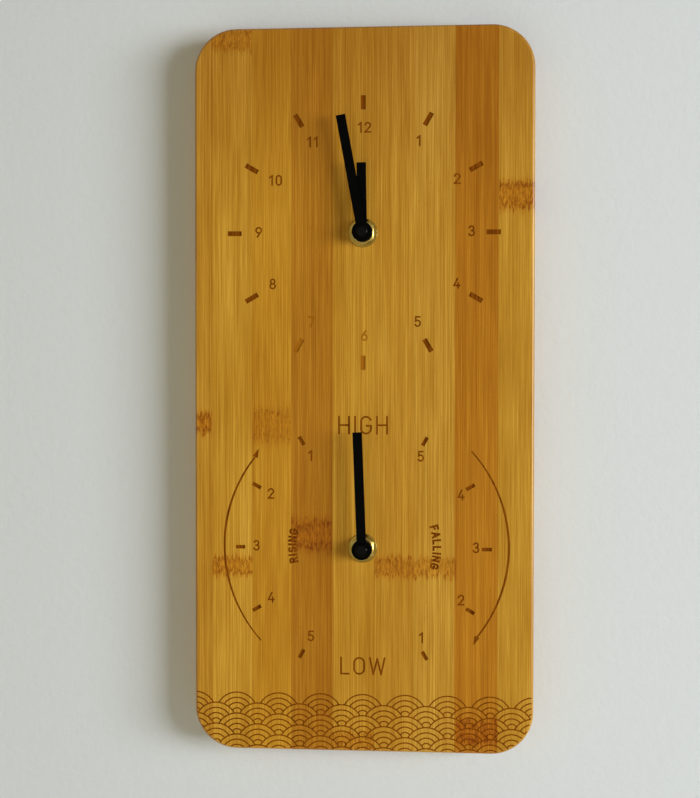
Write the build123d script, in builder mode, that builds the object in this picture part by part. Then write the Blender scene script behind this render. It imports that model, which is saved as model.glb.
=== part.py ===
from build123d import *
import math
import os

# A wall clock with two dials on one bamboo board: the time above, the tide below.
# Lengths are millimetres and angles degrees. X runs right along the face, Y into the wall, Z up.
# The origin is the hanging point: the top of the keyhole slot, in the plane of the wall.
# A depth is measured from the board's face towards the wall, so what stands proud is negative.

# Board
BOARD_WIDTH = 169.0
BOARD_HEIGHT = 360.0
BOARD_CORNER = 21.0
FRONT_EDGE_ROUND = 1.4
REAR_EDGE_ROUND = 0.6
FACE_WEB = 3.5
REAR_SPACE = 0.4
POCKET_CORNER = 5.0
POCKET_CLEARANCE = 1.0
DIAL_SPACING = 156.5

# Engraved hour marks
MARK_DEPTH = 0.4
TIME_MARK_RADIUS = 64.3
TIME_MARK_LENGTH = 7.0
TIME_MARK_WIDTH = 2.4
TIDE_MARK_RADIUS = 61.5
TIDE_MARK_LENGTH = 4.7
TIDE_MARK_WIDTH = 1.8
TIME_MARK_COUNT = 12
TIDE_SIDE_COUNT = 5
TIDE_SIDE_ANGLE = 120.0

# Keyhole hanger, let into the back
HANGER_DROP = 32.0
HANGER_LENGTH = 58.0
HANGER_WIDTH = 18.0
HANGER_THICKNESS = 1.6
HANGER_RECESS_CLEARANCE = 0.2
HANGER_POCKET_GAP = 6.75
SLOT_WIDTH = 5.0
SLOT_RISE = 10.0
ENTRY_DIAMETER = 9.5
HEAD_SPACE_WIDTH = 12.5
HEAD_SPACE_DEPTH = 7.0
SCREW_INSET = 6.0
SCREW_DIAMETER = 3.2
SCREW_HEAD_DIAMETER = 6.0
SCREW_LENGTH = 10.0
SCREW_HOLE_CLEARANCE = 0.2

# Movement case and its battery
CASE_WALL = 1.2
CASE_CORNER = 4.0
BAY_CORNER = 1.5
CASE_LIP_HEIGHT = 1.0
CASE_LIP_CLEARANCE = 0.1
GASKET_THICKNESS = 0.5
GASKET_DIAMETER = 18.0
TRAIN_WALL_GAP = 1.2
BATTERY_DIAMETER = 14.2
BATTERY_LENGTH = 50.5
BATTERY_NUB_DIAMETER = 5.2
BATTERY_NUB_LENGTH = 1.2
BATTERY_EDGE_ROUND = 0.6
BATTERY_CLEARANCE = 0.1
BATTERY_SIDE_CLEARANCE = 0.2
CONTACT_THICKNESS = 0.4
CONTACT_HEIGHT = 10.0
CONTACT_WIDTH = 7.0
CONTACT_CLEARANCE = 0.05
LEAF_SPACE = 2.7

# Central shafts, from the minute arbor outwards
MINUTE_ARBOR_DIAMETER = 3.4
HOUR_PIPE_WALL = 0.74
BUSH_WALL = 1.44
SHAFT_CLEARANCE = 0.06
BUSH_CLEARANCE = 0.3
BUSH_FLANGE_DIAMETER = 11.0
BUSH_FLANGE_THICKNESS = 0.4
BUSH_PROUD = 0.8
BUSH_CHAMFER = 0.4
WASHER_DIAMETER = 14.3
WASHER_THICKNESS = 0.6
NUT_ACROSS_FLATS = 11.0
NUT_THICKNESS = 2.6
NUT_CHAMFER = 0.5
NUT_ANGLE = 30.0
NUT_SIDES = 6

# Hands, measured from the middle of the dial to the tip, clockwise from straight up
HAND_WIDTH = 4.7
HAND_THICKNESS = 0.5
HAND_HUB_DIAMETER = 10.0
HAND_GAP = 0.5
HOUR_HAND_LENGTH = 34.0
HOUR_HAND_ANGLE = -0.87
MINUTE_HAND_LENGTH = 58.0
MINUTE_HAND_ANGLE = -10.5
TIDE_HAND_LENGTH = 58.0
TIDE_HAND_ANGLE = -2.2
COLLET_WALL = 1.2
COLLET_LENGTH = 1.2
COLLET_CLEARANCE = 0.02
PIPE_PROUD = 0.1
CAP_DIAMETER = 6.4
CAP_HEIGHT = 2.5
CAP_ROUND = 1.2
CAP_GRIP = 1.0

# Wheel train: six decks of wheels stand behind the front of the case, counted from the front
HAND_DECK = 0
MINUTE_DECK = 1
CLUTCH_DECK = 2
THIRD_DECK = 3
SECOND_DECK = 4
FIFTH_DECK = 5
DECK_COUNT = 6
WHEEL_THICKNESS = 1.2
DECK_GAP = 0.8
FLOOR_GAP = 0.6
BOSS_GAP = 0.3
BOSS_HEIGHT = 1.1
BOSS_DIAMETER = 3.2
END_SHAKE = 0.15
ARBOR_DIAMETER = 1.8
CENTRE_REAR_DIAMETER = 2.4
CENTRE_REAR_PROUD = 0.4
PIVOT_DIAMETER = 1.0
PIVOT_LENGTH = 1.2
PIVOT_CLEARANCE = 0.05
STUD_DIAMETER = 1.2
SPRING_THICKNESS = 0.15
SPRING_DIAMETER = 6.0
SPRING_CLEARANCE = 0.05

# Teeth: the sizes of all wheels follow from the distances between their axes
PRESSURE_ANGLE = 28.0
ADDENDUM_SHARE = 0.8
DEDENDUM_SHARE = 1.05
BACKLASH = 0.06
PINION_FLANK_SHARES = (0, 0.5, 1)
WHEEL_FLANK_SHARES = (0, 1)
THIRD_DISTANCE = 10.8
THIRD_ANGLE = 150.0
CLUTCH_TEETH = 64
THIRD_TEETH = 60
FIFTH_DISTANCE = 10.8
FIFTH_ANGLE = 60.0
SECOND_TEETH = 48
ROTOR_DISTANCE = 8.4
ROTOR_ANGLE = 30.0
FIFTH_TEETH = 40
PINION_TEETH = 8
REDUCTION_DISTANCE = 9.0
REDUCTION_ANGLE = 0.0
KNOB_ANGLE = -20.0
TIME_TEETH = {"minute": 12, "reduction": 36, "reduction_pinion": 12, "hand": 48}
TIDE_TEETH = {"minute": 10, "reduction": 27, "reduction_pinion": 10, "hand": 46}

# Setting knob, sunk in the back of the case
KNOB_DIAMETER = 10.0
KNOB_THICKNESS = 2.0
KNOB_SHAFT_DIAMETER = 2.4
KNOB_SIDE_CLEARANCE = 0.4
KNOB_FLOOR_GAP = 0.3
KNOB_SUNK = 0.3
KNOB_GRIP_COUNT = 24
KNOB_GRIP_DIAMETER = 0.8

# Stepping motor and its circuit
MAGNET_DIAMETER = 6.0
MAGNET_THICKNESS = 3.0
STATOR_THICKNESS = 1.0
STATOR_GAP = 0.4
STATOR_LOBE = 2.1
STATOR_ARM = 4.0
STATOR_POST_INSET = 5.0
STATOR_WALL_GAP = 2.25
COIL_LENGTH = 13.2
COIL_DIAMETER = 6.2
COIL_FLANGE = 0.8
COIL_WALL_GAP = 1.0
COIL_STATOR_GAP = 1.0
COIL_END_GAP = 0.4
CORE_WIDTH = 2.0
SLEEVE_DIAMETER = 3.2
WINDING_INSET = 0.2
BOARDLET_WIDTH = 17.0
BOARDLET_HEIGHT = 9.0
BOARDLET_THICKNESS = 0.8
BOARDLET_WALL_GAP = 1.2
BOARDLET_POST_INSET = 3.0
CRYSTAL_DIAMETER = 2.0
CRYSTAL_LENGTH = 6.0
POST_DIAMETER = 2.4

# One overrun serves every cut that runs out through a surface.
OVERRUN = 1.0
FULL_TURN = 360.0
HALF_TURN = 180.0
HALF_SHARE = 0.5

# Depths worked out from the face inwards
CASE_FRONT = FACE_WEB + GASKET_THICKNESS
CASE_FLOOR = CASE_FRONT + CASE_WALL
DECK_PITCH = WHEEL_THICKNESS + DECK_GAP
TRAIN_END = CASE_FLOOR + FLOOR_GAP + DECK_COUNT * DECK_PITCH - DECK_GAP
BOSS_FRONT = TRAIN_END + BOSS_GAP
BATTERY_SPACE = BATTERY_DIAMETER + 2 * BATTERY_CLEARANCE
CASE_CEILING = max(BOSS_FRONT + BOSS_HEIGHT, CASE_FLOOR + BATTERY_SPACE - CASE_WALL)
CASE_BACK = CASE_CEILING + CASE_WALL
BOARD_THICKNESS = CASE_BACK + REAR_SPACE

# Depths worked out from the face outwards
WASHER_FRONT = -WASHER_THICKNESS
NUT_FRONT = WASHER_FRONT - NUT_THICKNESS
BUSH_END = NUT_FRONT - BUSH_PROUD
HOUR_COLLET_REAR = BUSH_END - HAND_GAP
HOUR_PIPE_END = HOUR_COLLET_REAR - COLLET_LENGTH - HAND_THICKNESS - PIPE_PROUD
MINUTE_COLLET_REAR = HOUR_PIPE_END - HAND_GAP
CAP_REAR = MINUTE_COLLET_REAR - COLLET_LENGTH - HAND_THICKNESS
ARBOR_END = CAP_REAR - CAP_GRIP

# Central diameters
HOUR_PIPE_BORE = MINUTE_ARBOR_DIAMETER + 2 * SHAFT_CLEARANCE
HOUR_PIPE_DIAMETER = HOUR_PIPE_BORE + 2 * HOUR_PIPE_WALL
BUSH_BORE = HOUR_PIPE_DIAMETER + 2 * SHAFT_CLEARANCE
BUSH_DIAMETER = BUSH_BORE + 2 * BUSH_WALL
BUSH_HOLE = BUSH_DIAMETER + 2 * BUSH_CLEARANCE
PIVOT_HOLE = PIVOT_DIAMETER + 2 * PIVOT_CLEARANCE


def polar(distance, angle):
    """Offset in the plane of the face, with the angle counted from X towards Z."""
    turn = math.radians(angle)
    return (distance * math.cos(turn), distance * math.sin(turn))


def shifted(centre, offset):
    """A place on the face moved by an offset."""
    return (centre[0] + offset[0], centre[1] + offset[1])


def face_plane(depth, centre, turn=0):
    """Plane parallel to the face and looking out of it, turned clockwise as it is seen."""
    along = math.radians(turn)
    origin = (centre[0], depth - BOARD_THICKNESS, centre[1])
    return Plane(origin=origin, x_dir=(math.cos(along), 0, -math.sin(along)), z_dir=(0, -1, 0))


def deck(number):
    """Front and rear depth of one deck of the wheel train."""
    front = CASE_FLOOR + FLOOR_GAP + number * DECK_PITCH
    return front, front + WHEEL_THICKNESS


def disc(centre, front, rear, diameter, mode=Mode.ADD):
    """Cylinder across the clock, between two depths."""
    with Locations(face_plane(rear, centre)):
        Cylinder(diameter / 2, rear - front, align=(Align.CENTER, Align.CENTER, Align.MIN), mode=mode)


def finish(piece, name):
    """Label a finished piece and write its file."""
    piece.part.label = name
    export_step(piece.part, f"parts/{name}.step")


def tip_radius(teeth, mate_teeth, distance):
    """Radius over the teeth of a wheel that runs with its mate at the given distance."""
    return distance * (teeth + 2 * ADDENDUM_SHARE) / (teeth + mate_teeth)


# Where the axes stand, measured from the central shaft
THIRD_AXIS = polar(THIRD_DISTANCE, THIRD_ANGLE)
FIFTH_AXIS = polar(FIFTH_DISTANCE, FIFTH_ANGLE)
ROTOR_AXIS = shifted(FIFTH_AXIS, polar(ROTOR_DISTANCE, ROTOR_ANGLE))
REDUCTION_AXIS = polar(REDUCTION_DISTANCE, REDUCTION_ANGLE)
KNOB_AXIS = shifted(REDUCTION_AXIS, polar(REDUCTION_DISTANCE, KNOB_ANGLE))

# Motor, measured from the central shaft
STATOR_FRONT = deck(CLUTCH_DECK)[1] + STATOR_GAP
STATOR_REAR = STATOR_FRONT + STATOR_THICKNESS
MAGNET_FRONT = STATOR_FRONT + STATOR_THICKNESS / 2 - MAGNET_THICKNESS / 2
MAGNET_REAR = MAGNET_FRONT + MAGNET_THICKNESS
STATOR_HOLE = MAGNET_DIAMETER + 2 * STATOR_GAP
STATOR_BODY = STATOR_HOLE + 2 * STATOR_LOBE
STATOR_WINDOW = COIL_LENGTH + 2 * COIL_END_GAP
STATOR_HEIGHT = STATOR_WINDOW + 2 * STATOR_ARM
COIL_DEPTH = STATOR_REAR + STATOR_THICKNESS / 2
ARM_OFFSET = (STATOR_WINDOW + STATOR_ARM) / 2
MOTOR_REACH = ROTOR_AXIS[0] + STATOR_BODY / 2 + COIL_STATOR_GAP + COIL_DIAMETER + COIL_WALL_GAP

# Outline of the case about the shaft: the battery bay lies across the bottom
CLUTCH_RADIUS = tip_radius(CLUTCH_TEETH, PINION_TEETH, THIRD_DISTANCE)
SECOND_RADIUS = tip_radius(SECOND_TEETH, PINION_TEETH, FIFTH_DISTANCE)
TRAIN_BELOW = max(CLUTCH_RADIUS, SECOND_RADIUS) + TRAIN_WALL_GAP
TRAIN_ABOVE = ROTOR_AXIS[1] + STATOR_HEIGHT / 2 + STATOR_WALL_GAP
TRAIN_MIDDLE = (TRAIN_ABOVE - TRAIN_BELOW) / 2
TRAIN_HEIGHT = TRAIN_ABOVE + TRAIN_BELOW
BAY_WIDTH = BATTERY_LENGTH + LEAF_SPACE + CONTACT_THICKNESS
BAY_HEIGHT = BATTERY_DIAMETER + 2 * BATTERY_SIDE_CLEARANCE
BAY_TOP = -TRAIN_BELOW - CASE_WALL
BAY_MIDDLE = BAY_TOP - BAY_HEIGHT / 2
CASE_INNER_WIDTH = max(BAY_WIDTH, 2 * MOTOR_REACH)
CASE_WIDTH = CASE_INNER_WIDTH + 2 * CASE_WALL
CASE_TOP = TRAIN_ABOVE + CASE_WALL
CASE_BOTTOM = BAY_TOP - BAY_HEIGHT - CASE_WALL
CASE_HEIGHT = CASE_TOP - CASE_BOTTOM
CASE_MIDDLE = (CASE_TOP + CASE_BOTTOM) / 2
CASE_INNER_CORNER = CASE_CORNER - CASE_WALL

# Places on the board, as X and Z: the upper pocket lies under the hanger
BOARD_MIDDLE = HANGER_DROP - BOARD_HEIGHT / 2
HANGER_CENTRE = (0, -SLOT_RISE / 2)
SCREW_SPREAD = HANGER_LENGTH / 2 - SCREW_INSET
HANGER_SCREWS = [shifted(HANGER_CENTRE, (0, side * SCREW_SPREAD)) for side in (-1, 1)]
SCREW_HEAD_HEIGHT = (SCREW_HEAD_DIAMETER - SCREW_DIAMETER) / 2
POCKET_TOP = HANGER_CENTRE[1] - HANGER_LENGTH / 2 - HANGER_POCKET_GAP
TIME_CENTRE = (0, POCKET_TOP - POCKET_CLEARANCE - CASE_TOP)
TIDE_CENTRE = (0, TIME_CENTRE[1] - DIAL_SPACING)

# Coil, circuit, knob and battery, measured from the central shaft
COIL_X = CASE_INNER_WIDTH / 2 - COIL_WALL_GAP - COIL_DIAMETER / 2
STATOR_POSTS = [(COIL_X - STATOR_POST_INSET, ROTOR_AXIS[1] + side * ARM_OFFSET) for side in (-1, 1)]
BOARDLET_CENTRE = (
    BOARDLET_WALL_GAP + BOARDLET_WIDTH / 2 - CASE_INNER_WIDTH / 2,
    TRAIN_ABOVE - BOARDLET_WALL_GAP - BOARDLET_HEIGHT / 2,
)
BOARDLET_FRONT = deck(CLUTCH_DECK)[0]
BOARDLET_REAR = BOARDLET_FRONT + BOARDLET_THICKNESS
BOARDLET_POSTS = [
    (BOARDLET_CENTRE[0] + side * (BOARDLET_WIDTH / 2 - BOARDLET_POST_INSET), BOARDLET_CENTRE[1])
    for side in (-1, 1)
]
KNOB_REAR = CASE_BACK - KNOB_SUNK
KNOB_FLOOR = KNOB_REAR - KNOB_THICKNESS - KNOB_FLOOR_GAP
KNOB_WELL = KNOB_DIAMETER + 2 * KNOB_SIDE_CLEARANCE
BATTERY_DEPTH = CASE_FLOOR + BATTERY_CLEARANCE + BATTERY_DIAMETER / 2


def gear_points(teeth, pitch_radius, phase, flank_shares):
    """Corners of a spur gear whose flanks are chords of the involute."""
    module = 2 * pitch_radius / teeth
    pressure = math.radians(PRESSURE_ANGLE)
    base_radius = pitch_radius * math.cos(pressure)
    root_radius = pitch_radius - DEDENDUM_SHARE * module
    tooth_height = (ADDENDUM_SHARE + DEDENDUM_SHARE) * module
    half_tooth = math.pi / (2 * teeth) - BACKLASH / (2 * pitch_radius) + math.tan(pressure) - pressure
    flank = []
    for share in flank_shares:
        radius = root_radius + share * tooth_height
        roll = math.acos(min(1, base_radius / radius))
        flank.append((radius, half_tooth - math.tan(roll) + roll))
    points = []
    for tooth in range(teeth):
        middle = math.radians(phase + FULL_TURN * tooth / teeth)
        rising = [(radius, middle - half) for radius, half in flank]
        falling = [(radius, middle + half) for radius, half in reversed(flank)]
        points += [(radius * math.cos(turn), radius * math.sin(turn)) for radius, turn in rising + falling]
    return points


def gear(centre, level, teeth, mate_teeth, distance, phase):
    """Toothed disc on one deck, sized to run with its mate at the given distance."""
    front, rear = deck(level)
    pitch_radius = distance * teeth / (teeth + mate_teeth)
    shares = PINION_FLANK_SHARES if teeth < mate_teeth else WHEEL_FLANK_SHARES
    with BuildSketch(face_plane(rear, centre)) as outline:
        Polygon(*gear_points(teeth, pitch_radius, phase, shares), align=None)
    extrude(outline.sketch, amount=rear - front)


def mesh_phase(phase, teeth, mate_teeth, direction):
    """Angle of a tooth of the mate, so that its gaps take the teeth of a gear with this phase."""
    offset_share = ((direction - phase) * teeth / FULL_TURN) % 1
    return direction + HALF_TURN + (offset_share + HALF_SHARE) * FULL_TURN / mate_teeth


def make_board():
    """Bamboo board with engraved hour marks, two pockets for the movements and the hanger's recess."""
    with BuildPart() as board:
        with BuildSketch(face_plane(BOARD_THICKNESS, (0, BOARD_MIDDLE))):
            RectangleRounded(BOARD_WIDTH, BOARD_HEIGHT, BOARD_CORNER)
        extrude(amount=BOARD_THICKNESS)
        fillet(board.faces().sort_by(Axis.Y)[0].edges(), FRONT_EDGE_ROUND)
        fillet(board.faces().sort_by(Axis.Y)[-1].edges(), REAR_EDGE_ROUND)
        for centre in (TIME_CENTRE, TIDE_CENTRE):
            with BuildSketch(face_plane(BOARD_THICKNESS, shifted(centre, (0, CASE_MIDDLE)))):
                pocket_width = CASE_WIDTH + 2 * POCKET_CLEARANCE
                pocket_height = CASE_HEIGHT + 2 * POCKET_CLEARANCE
                RectangleRounded(pocket_width, pocket_height, POCKET_CORNER)
            extrude(amount=BOARD_THICKNESS - FACE_WEB, mode=Mode.SUBTRACT)
            disc(centre, -OVERRUN, FACE_WEB + OVERRUN, BUSH_HOLE, Mode.SUBTRACT)
        with BuildSketch(face_plane(0, TIME_CENTRE)):
            with PolarLocations(TIME_MARK_RADIUS, TIME_MARK_COUNT):
                Rectangle(TIME_MARK_LENGTH, TIME_MARK_WIDTH)
        extrude(amount=-MARK_DEPTH, mode=Mode.SUBTRACT)
        with BuildSketch(face_plane(0, TIDE_CENTRE)):
            for start in (-TIDE_SIDE_ANGLE / 2, HALF_TURN - TIDE_SIDE_ANGLE / 2):
                with PolarLocations(TIDE_MARK_RADIUS, TIDE_SIDE_COUNT, start, TIDE_SIDE_ANGLE, endpoint=True):
                    Rectangle(TIDE_MARK_LENGTH, TIDE_MARK_WIDTH)
        extrude(amount=-MARK_DEPTH, mode=Mode.SUBTRACT)
        with BuildSketch(face_plane(BOARD_THICKNESS, HANGER_CENTRE)):
            recess_width = HANGER_WIDTH + 2 * HANGER_RECESS_CLEARANCE
            SlotOverall(HANGER_LENGTH + 2 * HANGER_RECESS_CLEARANCE, recess_width, rotation=HALF_TURN / 2)
        extrude(amount=HANGER_THICKNESS, mode=Mode.SUBTRACT)
        with BuildSketch(face_plane(BOARD_THICKNESS, HANGER_CENTRE)):
            SlotCenterToCenter(SLOT_RISE, HEAD_SPACE_WIDTH, rotation=HALF_TURN / 2)
        extrude(amount=HEAD_SPACE_DEPTH, mode=Mode.SUBTRACT)
        for place in HANGER_SCREWS:
            disc(place, BOARD_THICKNESS - SCREW_LENGTH, BOARD_THICKNESS, SCREW_DIAMETER, Mode.SUBTRACT)
    finish(board, "board")


def make_hanger_plate():
    """Steel plate with a keyhole slot, flush with the back of the board."""
    with BuildPart() as plate:
        with BuildSketch(face_plane(BOARD_THICKNESS, HANGER_CENTRE)):
            SlotOverall(HANGER_LENGTH, HANGER_WIDTH, rotation=HALF_TURN / 2)
        extrude(amount=HANGER_THICKNESS)
        with BuildSketch(face_plane(BOARD_THICKNESS, HANGER_CENTRE)):
            SlotCenterToCenter(SLOT_RISE, SLOT_WIDTH, rotation=HALF_TURN / 2)
            with Locations((0, -SLOT_RISE / 2)):
                Circle(ENTRY_DIAMETER / 2)
        extrude(amount=HANGER_THICKNESS, mode=Mode.SUBTRACT)
        for place in HANGER_SCREWS:
            with Locations(Plane(origin=(place[0], 0, place[1]), z_dir=(0, 1, 0))):
                CounterSinkHole(
                    SCREW_DIAMETER / 2 + SCREW_HOLE_CLEARANCE,
                    SCREW_HEAD_DIAMETER / 2 + SCREW_HOLE_CLEARANCE,
                    counter_sink_angle=HALF_TURN / 2,
                )
    finish(plate, "hanger_plate")


def make_hanger_screws():
    """Two countersunk screws that hold the hanger plate."""
    with BuildPart() as screws:
        for place in HANGER_SCREWS:
            disc(place, BOARD_THICKNESS - SCREW_LENGTH, BOARD_THICKNESS, SCREW_DIAMETER)
            with Locations(face_plane(BOARD_THICKNESS, place)):
                Cone(
                    SCREW_HEAD_DIAMETER / 2,
                    SCREW_DIAMETER / 2,
                    SCREW_HEAD_HEIGHT,
                    align=(Align.CENTER, Align.CENTER, Align.MIN),
                )
    finish(screws, "hanger_screws")


def bearing_post(centre, front, rear, hole_front, hole_rear):
    """Round post with a blind hole for a pivot."""
    disc(centre, front, rear, BOSS_DIAMETER)
    disc(centre, hole_front, hole_rear, PIVOT_HOLE, Mode.SUBTRACT)


def make_case_front(name, centre):
    """Front of a movement's case, with posts for the pivots, the motor and the circuit."""
    with BuildPart() as front:
        with BuildSketch(face_plane(CASE_FLOOR, shifted(centre, (0, CASE_MIDDLE)))):
            RectangleRounded(CASE_WIDTH, CASE_HEIGHT, CASE_CORNER)
        extrude(amount=CASE_WALL)
        with BuildSketch(face_plane(CASE_FLOOR, shifted(centre, (0, TRAIN_MIDDLE)))):
            lip_width = CASE_INNER_WIDTH - 2 * CASE_LIP_CLEARANCE
            lip_height = TRAIN_HEIGHT - 2 * CASE_LIP_CLEARANCE
            RectangleRounded(lip_width, lip_height, CASE_INNER_CORNER)
            inner_width = lip_width - 2 * CASE_WALL
            inner_height = lip_height - 2 * CASE_WALL
            RectangleRounded(inner_width, inner_height, CASE_INNER_CORNER - CASE_WALL, mode=Mode.SUBTRACT)
        extrude(amount=-CASE_LIP_HEIGHT)
        third_front = deck(CLUTCH_DECK)[0]
        knob_front = deck(MINUTE_DECK)[0]
        for axis, stop in ((THIRD_AXIS, third_front), (ROTOR_AXIS, MAGNET_FRONT), (KNOB_AXIS, knob_front)):
            rear = stop - END_SHAKE
            hole_front = rear - PIVOT_LENGTH - END_SHAKE
            bearing_post(shifted(centre, axis), CASE_FLOOR, rear, hole_front, rear)
        disc(shifted(centre, REDUCTION_AXIS), CASE_FLOOR, deck(MINUTE_DECK)[1], STUD_DIAMETER)
        for place in STATOR_POSTS:
            disc(shifted(centre, place), CASE_FLOOR, STATOR_FRONT, POST_DIAMETER)
        for place in BOARDLET_POSTS:
            disc(shifted(centre, place), CASE_FLOOR, BOARDLET_FRONT, POST_DIAMETER)
        bush_hole = BUSH_DIAMETER + 2 * SHAFT_CLEARANCE
        disc(centre, CASE_FRONT - OVERRUN, CASE_FLOOR + OVERRUN, bush_hole, Mode.SUBTRACT)
    finish(front, f"{name}_case_front")


def make_case_rear(name, centre):
    """Tub of a movement's case, open at the back over the battery, with a well for the knob."""
    knob_axis = shifted(centre, KNOB_AXIS)
    with BuildPart() as tub:
        with BuildSketch(face_plane(CASE_BACK, shifted(centre, (0, CASE_MIDDLE)))):
            RectangleRounded(CASE_WIDTH, CASE_HEIGHT, CASE_CORNER)
        extrude(amount=CASE_BACK - CASE_FLOOR)
        with BuildSketch(face_plane(CASE_CEILING, shifted(centre, (0, TRAIN_MIDDLE)))):
            RectangleRounded(CASE_INNER_WIDTH, TRAIN_HEIGHT, CASE_INNER_CORNER)
        extrude(amount=CASE_CEILING - CASE_FLOOR, mode=Mode.SUBTRACT)
        with BuildSketch(face_plane(CASE_BACK, shifted(centre, (0, BAY_MIDDLE)))):
            RectangleRounded(BAY_WIDTH, BAY_HEIGHT, BAY_CORNER)
        extrude(amount=CASE_BACK - CASE_FLOOR, mode=Mode.SUBTRACT)
        disc(knob_axis, KNOB_FLOOR - CASE_WALL, CASE_CEILING, KNOB_WELL + 2 * CASE_WALL)
        disc(knob_axis, KNOB_FLOOR, CASE_BACK, KNOB_WELL, Mode.SUBTRACT)
        shaft_hole = KNOB_SHAFT_DIAMETER + 2 * PIVOT_CLEARANCE
        disc(knob_axis, KNOB_FLOOR - CASE_WALL, KNOB_FLOOR, shaft_hole, Mode.SUBTRACT)
        hole_rear = BOSS_FRONT + PIVOT_LENGTH + END_SHAKE
        for axis in ((0, 0), THIRD_AXIS, ROTOR_AXIS):
            bearing_post(shifted(centre, axis), BOSS_FRONT, CASE_CEILING, BOSS_FRONT, hole_rear)
        fifth_axis = shifted(centre, FIFTH_AXIS)
        disc(fifth_axis, BOSS_FRONT, CASE_CEILING, BOSS_DIAMETER)
        disc(fifth_axis, deck(SECOND_DECK)[0], CASE_CEILING, STUD_DIAMETER)
    finish(tub, f"{name}_case_rear")


def make_bush(name, centre):
    """Brass bush that clamps the movement to the board: its flange is inside the case."""
    with BuildPart() as bush:
        disc(centre, BUSH_END, CASE_FLOOR, BUSH_DIAMETER)
        chamfer(bush.faces().sort_by(Axis.Y)[0].edges(), BUSH_CHAMFER)
        disc(centre, CASE_FLOOR, CASE_FLOOR + BUSH_FLANGE_THICKNESS, BUSH_FLANGE_DIAMETER)
        disc(centre, BUSH_END - OVERRUN, CASE_FLOOR + OVERRUN, BUSH_BORE, Mode.SUBTRACT)
    finish(bush, f"{name}_threaded_bush")


def make_gasket(name, centre):
    """Rubber ring between the case and the back of the face."""
    with BuildPart() as gasket:
        disc(centre, FACE_WEB, CASE_FRONT, GASKET_DIAMETER)
        disc(centre, FACE_WEB, CASE_FRONT, BUSH_HOLE, Mode.SUBTRACT)
    finish(gasket, f"{name}_gasket")


def make_washer(name, centre):
    """Round brass washer on the face of the board."""
    with BuildPart() as washer:
        disc(centre, WASHER_FRONT, 0, WASHER_DIAMETER)
        disc(centre, WASHER_FRONT, 0, BUSH_HOLE, Mode.SUBTRACT)
    finish(washer, f"{name}_washer")


def make_nut(name, centre):
    """Brass hexagon nut with its outer corners turned off."""
    corner_diameter = NUT_ACROSS_FLATS / math.cos(math.pi / NUT_SIDES)
    with BuildPart() as nut:
        with BuildSketch(face_plane(WASHER_FRONT, centre, NUT_ANGLE)):
            RegularPolygon(NUT_ACROSS_FLATS / 2, NUT_SIDES, major_radius=False)
        extrude(amount=NUT_THICKNESS)
        with Locations(face_plane(WASHER_FRONT, centre)):
            Cone(
                corner_diameter / 2 - NUT_CHAMFER + NUT_THICKNESS,
                corner_diameter / 2 - NUT_CHAMFER,
                NUT_THICKNESS,
                align=(Align.CENTER, Align.CENTER, Align.MIN),
                mode=Mode.INTERSECT,
            )
        disc(centre, NUT_FRONT, WASHER_FRONT, BUSH_DIAMETER, Mode.SUBTRACT)
    finish(nut, f"{name}_hex_nut")


def make_hand(name, centre, collet_rear, shaft_diameter, length, turn):
    """Straight black hand with a round hub and a collet that grips its shaft."""
    plate_rear = collet_rear - COLLET_LENGTH
    bore = shaft_diameter + 2 * COLLET_CLEARANCE
    with BuildPart() as hand:
        with BuildSketch(face_plane(plate_rear, centre, turn)):
            Rectangle(HAND_WIDTH, length, align=(Align.CENTER, Align.MIN))
            Circle(HAND_HUB_DIAMETER / 2)
        extrude(amount=HAND_THICKNESS)
        disc(centre, plate_rear, collet_rear, bore + 2 * COLLET_WALL)
        disc(centre, plate_rear - HAND_THICKNESS, collet_rear, bore, Mode.SUBTRACT)
    finish(hand, name)


def make_cap(name, centre):
    """Round black cap pushed over the end of the shaft."""
    with BuildPart() as cap:
        disc(centre, CAP_REAR - CAP_HEIGHT, CAP_REAR, CAP_DIAMETER)
        fillet(cap.faces().sort_by(Axis.Y)[0].edges(), CAP_ROUND)
        disc(centre, ARBOR_END, CAP_REAR, MINUTE_ARBOR_DIAMETER + 2 * COLLET_CLEARANCE, Mode.SUBTRACT)
    finish(cap, f"{name}_hand_cap")


def make_hour_wheel(name, centre, teeth):
    """Hour wheel with the pipe that carries the hour hand."""
    phase = mesh_phase(0, teeth["reduction_pinion"], teeth["hand"], REDUCTION_ANGLE + HALF_TURN)
    with BuildPart() as wheel:
        gear(centre, HAND_DECK, teeth["hand"], teeth["reduction_pinion"], REDUCTION_DISTANCE, phase)
        disc(centre, HOUR_PIPE_END, deck(HAND_DECK)[0], HOUR_PIPE_DIAMETER)
        disc(centre, HOUR_PIPE_END, deck(HAND_DECK)[1], HOUR_PIPE_BORE, Mode.SUBTRACT)
    finish(wheel, f"{name}_hour_wheel")


def make_tide_wheel(name, centre, teeth):
    """Tide wheel with the stepped shaft that carries the tide hand."""
    phase = mesh_phase(0, teeth["reduction_pinion"], teeth["hand"], REDUCTION_ANGLE + HALF_TURN)
    front, rear = deck(HAND_DECK)
    with BuildPart() as wheel:
        gear(centre, HAND_DECK, teeth["hand"], teeth["reduction_pinion"], REDUCTION_DISTANCE, phase)
        disc(centre, HOUR_PIPE_END, front, HOUR_PIPE_DIAMETER)
        disc(centre, ARBOR_END, HOUR_PIPE_END, MINUTE_ARBOR_DIAMETER)
        disc(centre, rear - PIVOT_LENGTH - END_SHAKE, rear, PIVOT_HOLE, Mode.SUBTRACT)
    finish(wheel, f"{name}_wheel")


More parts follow.
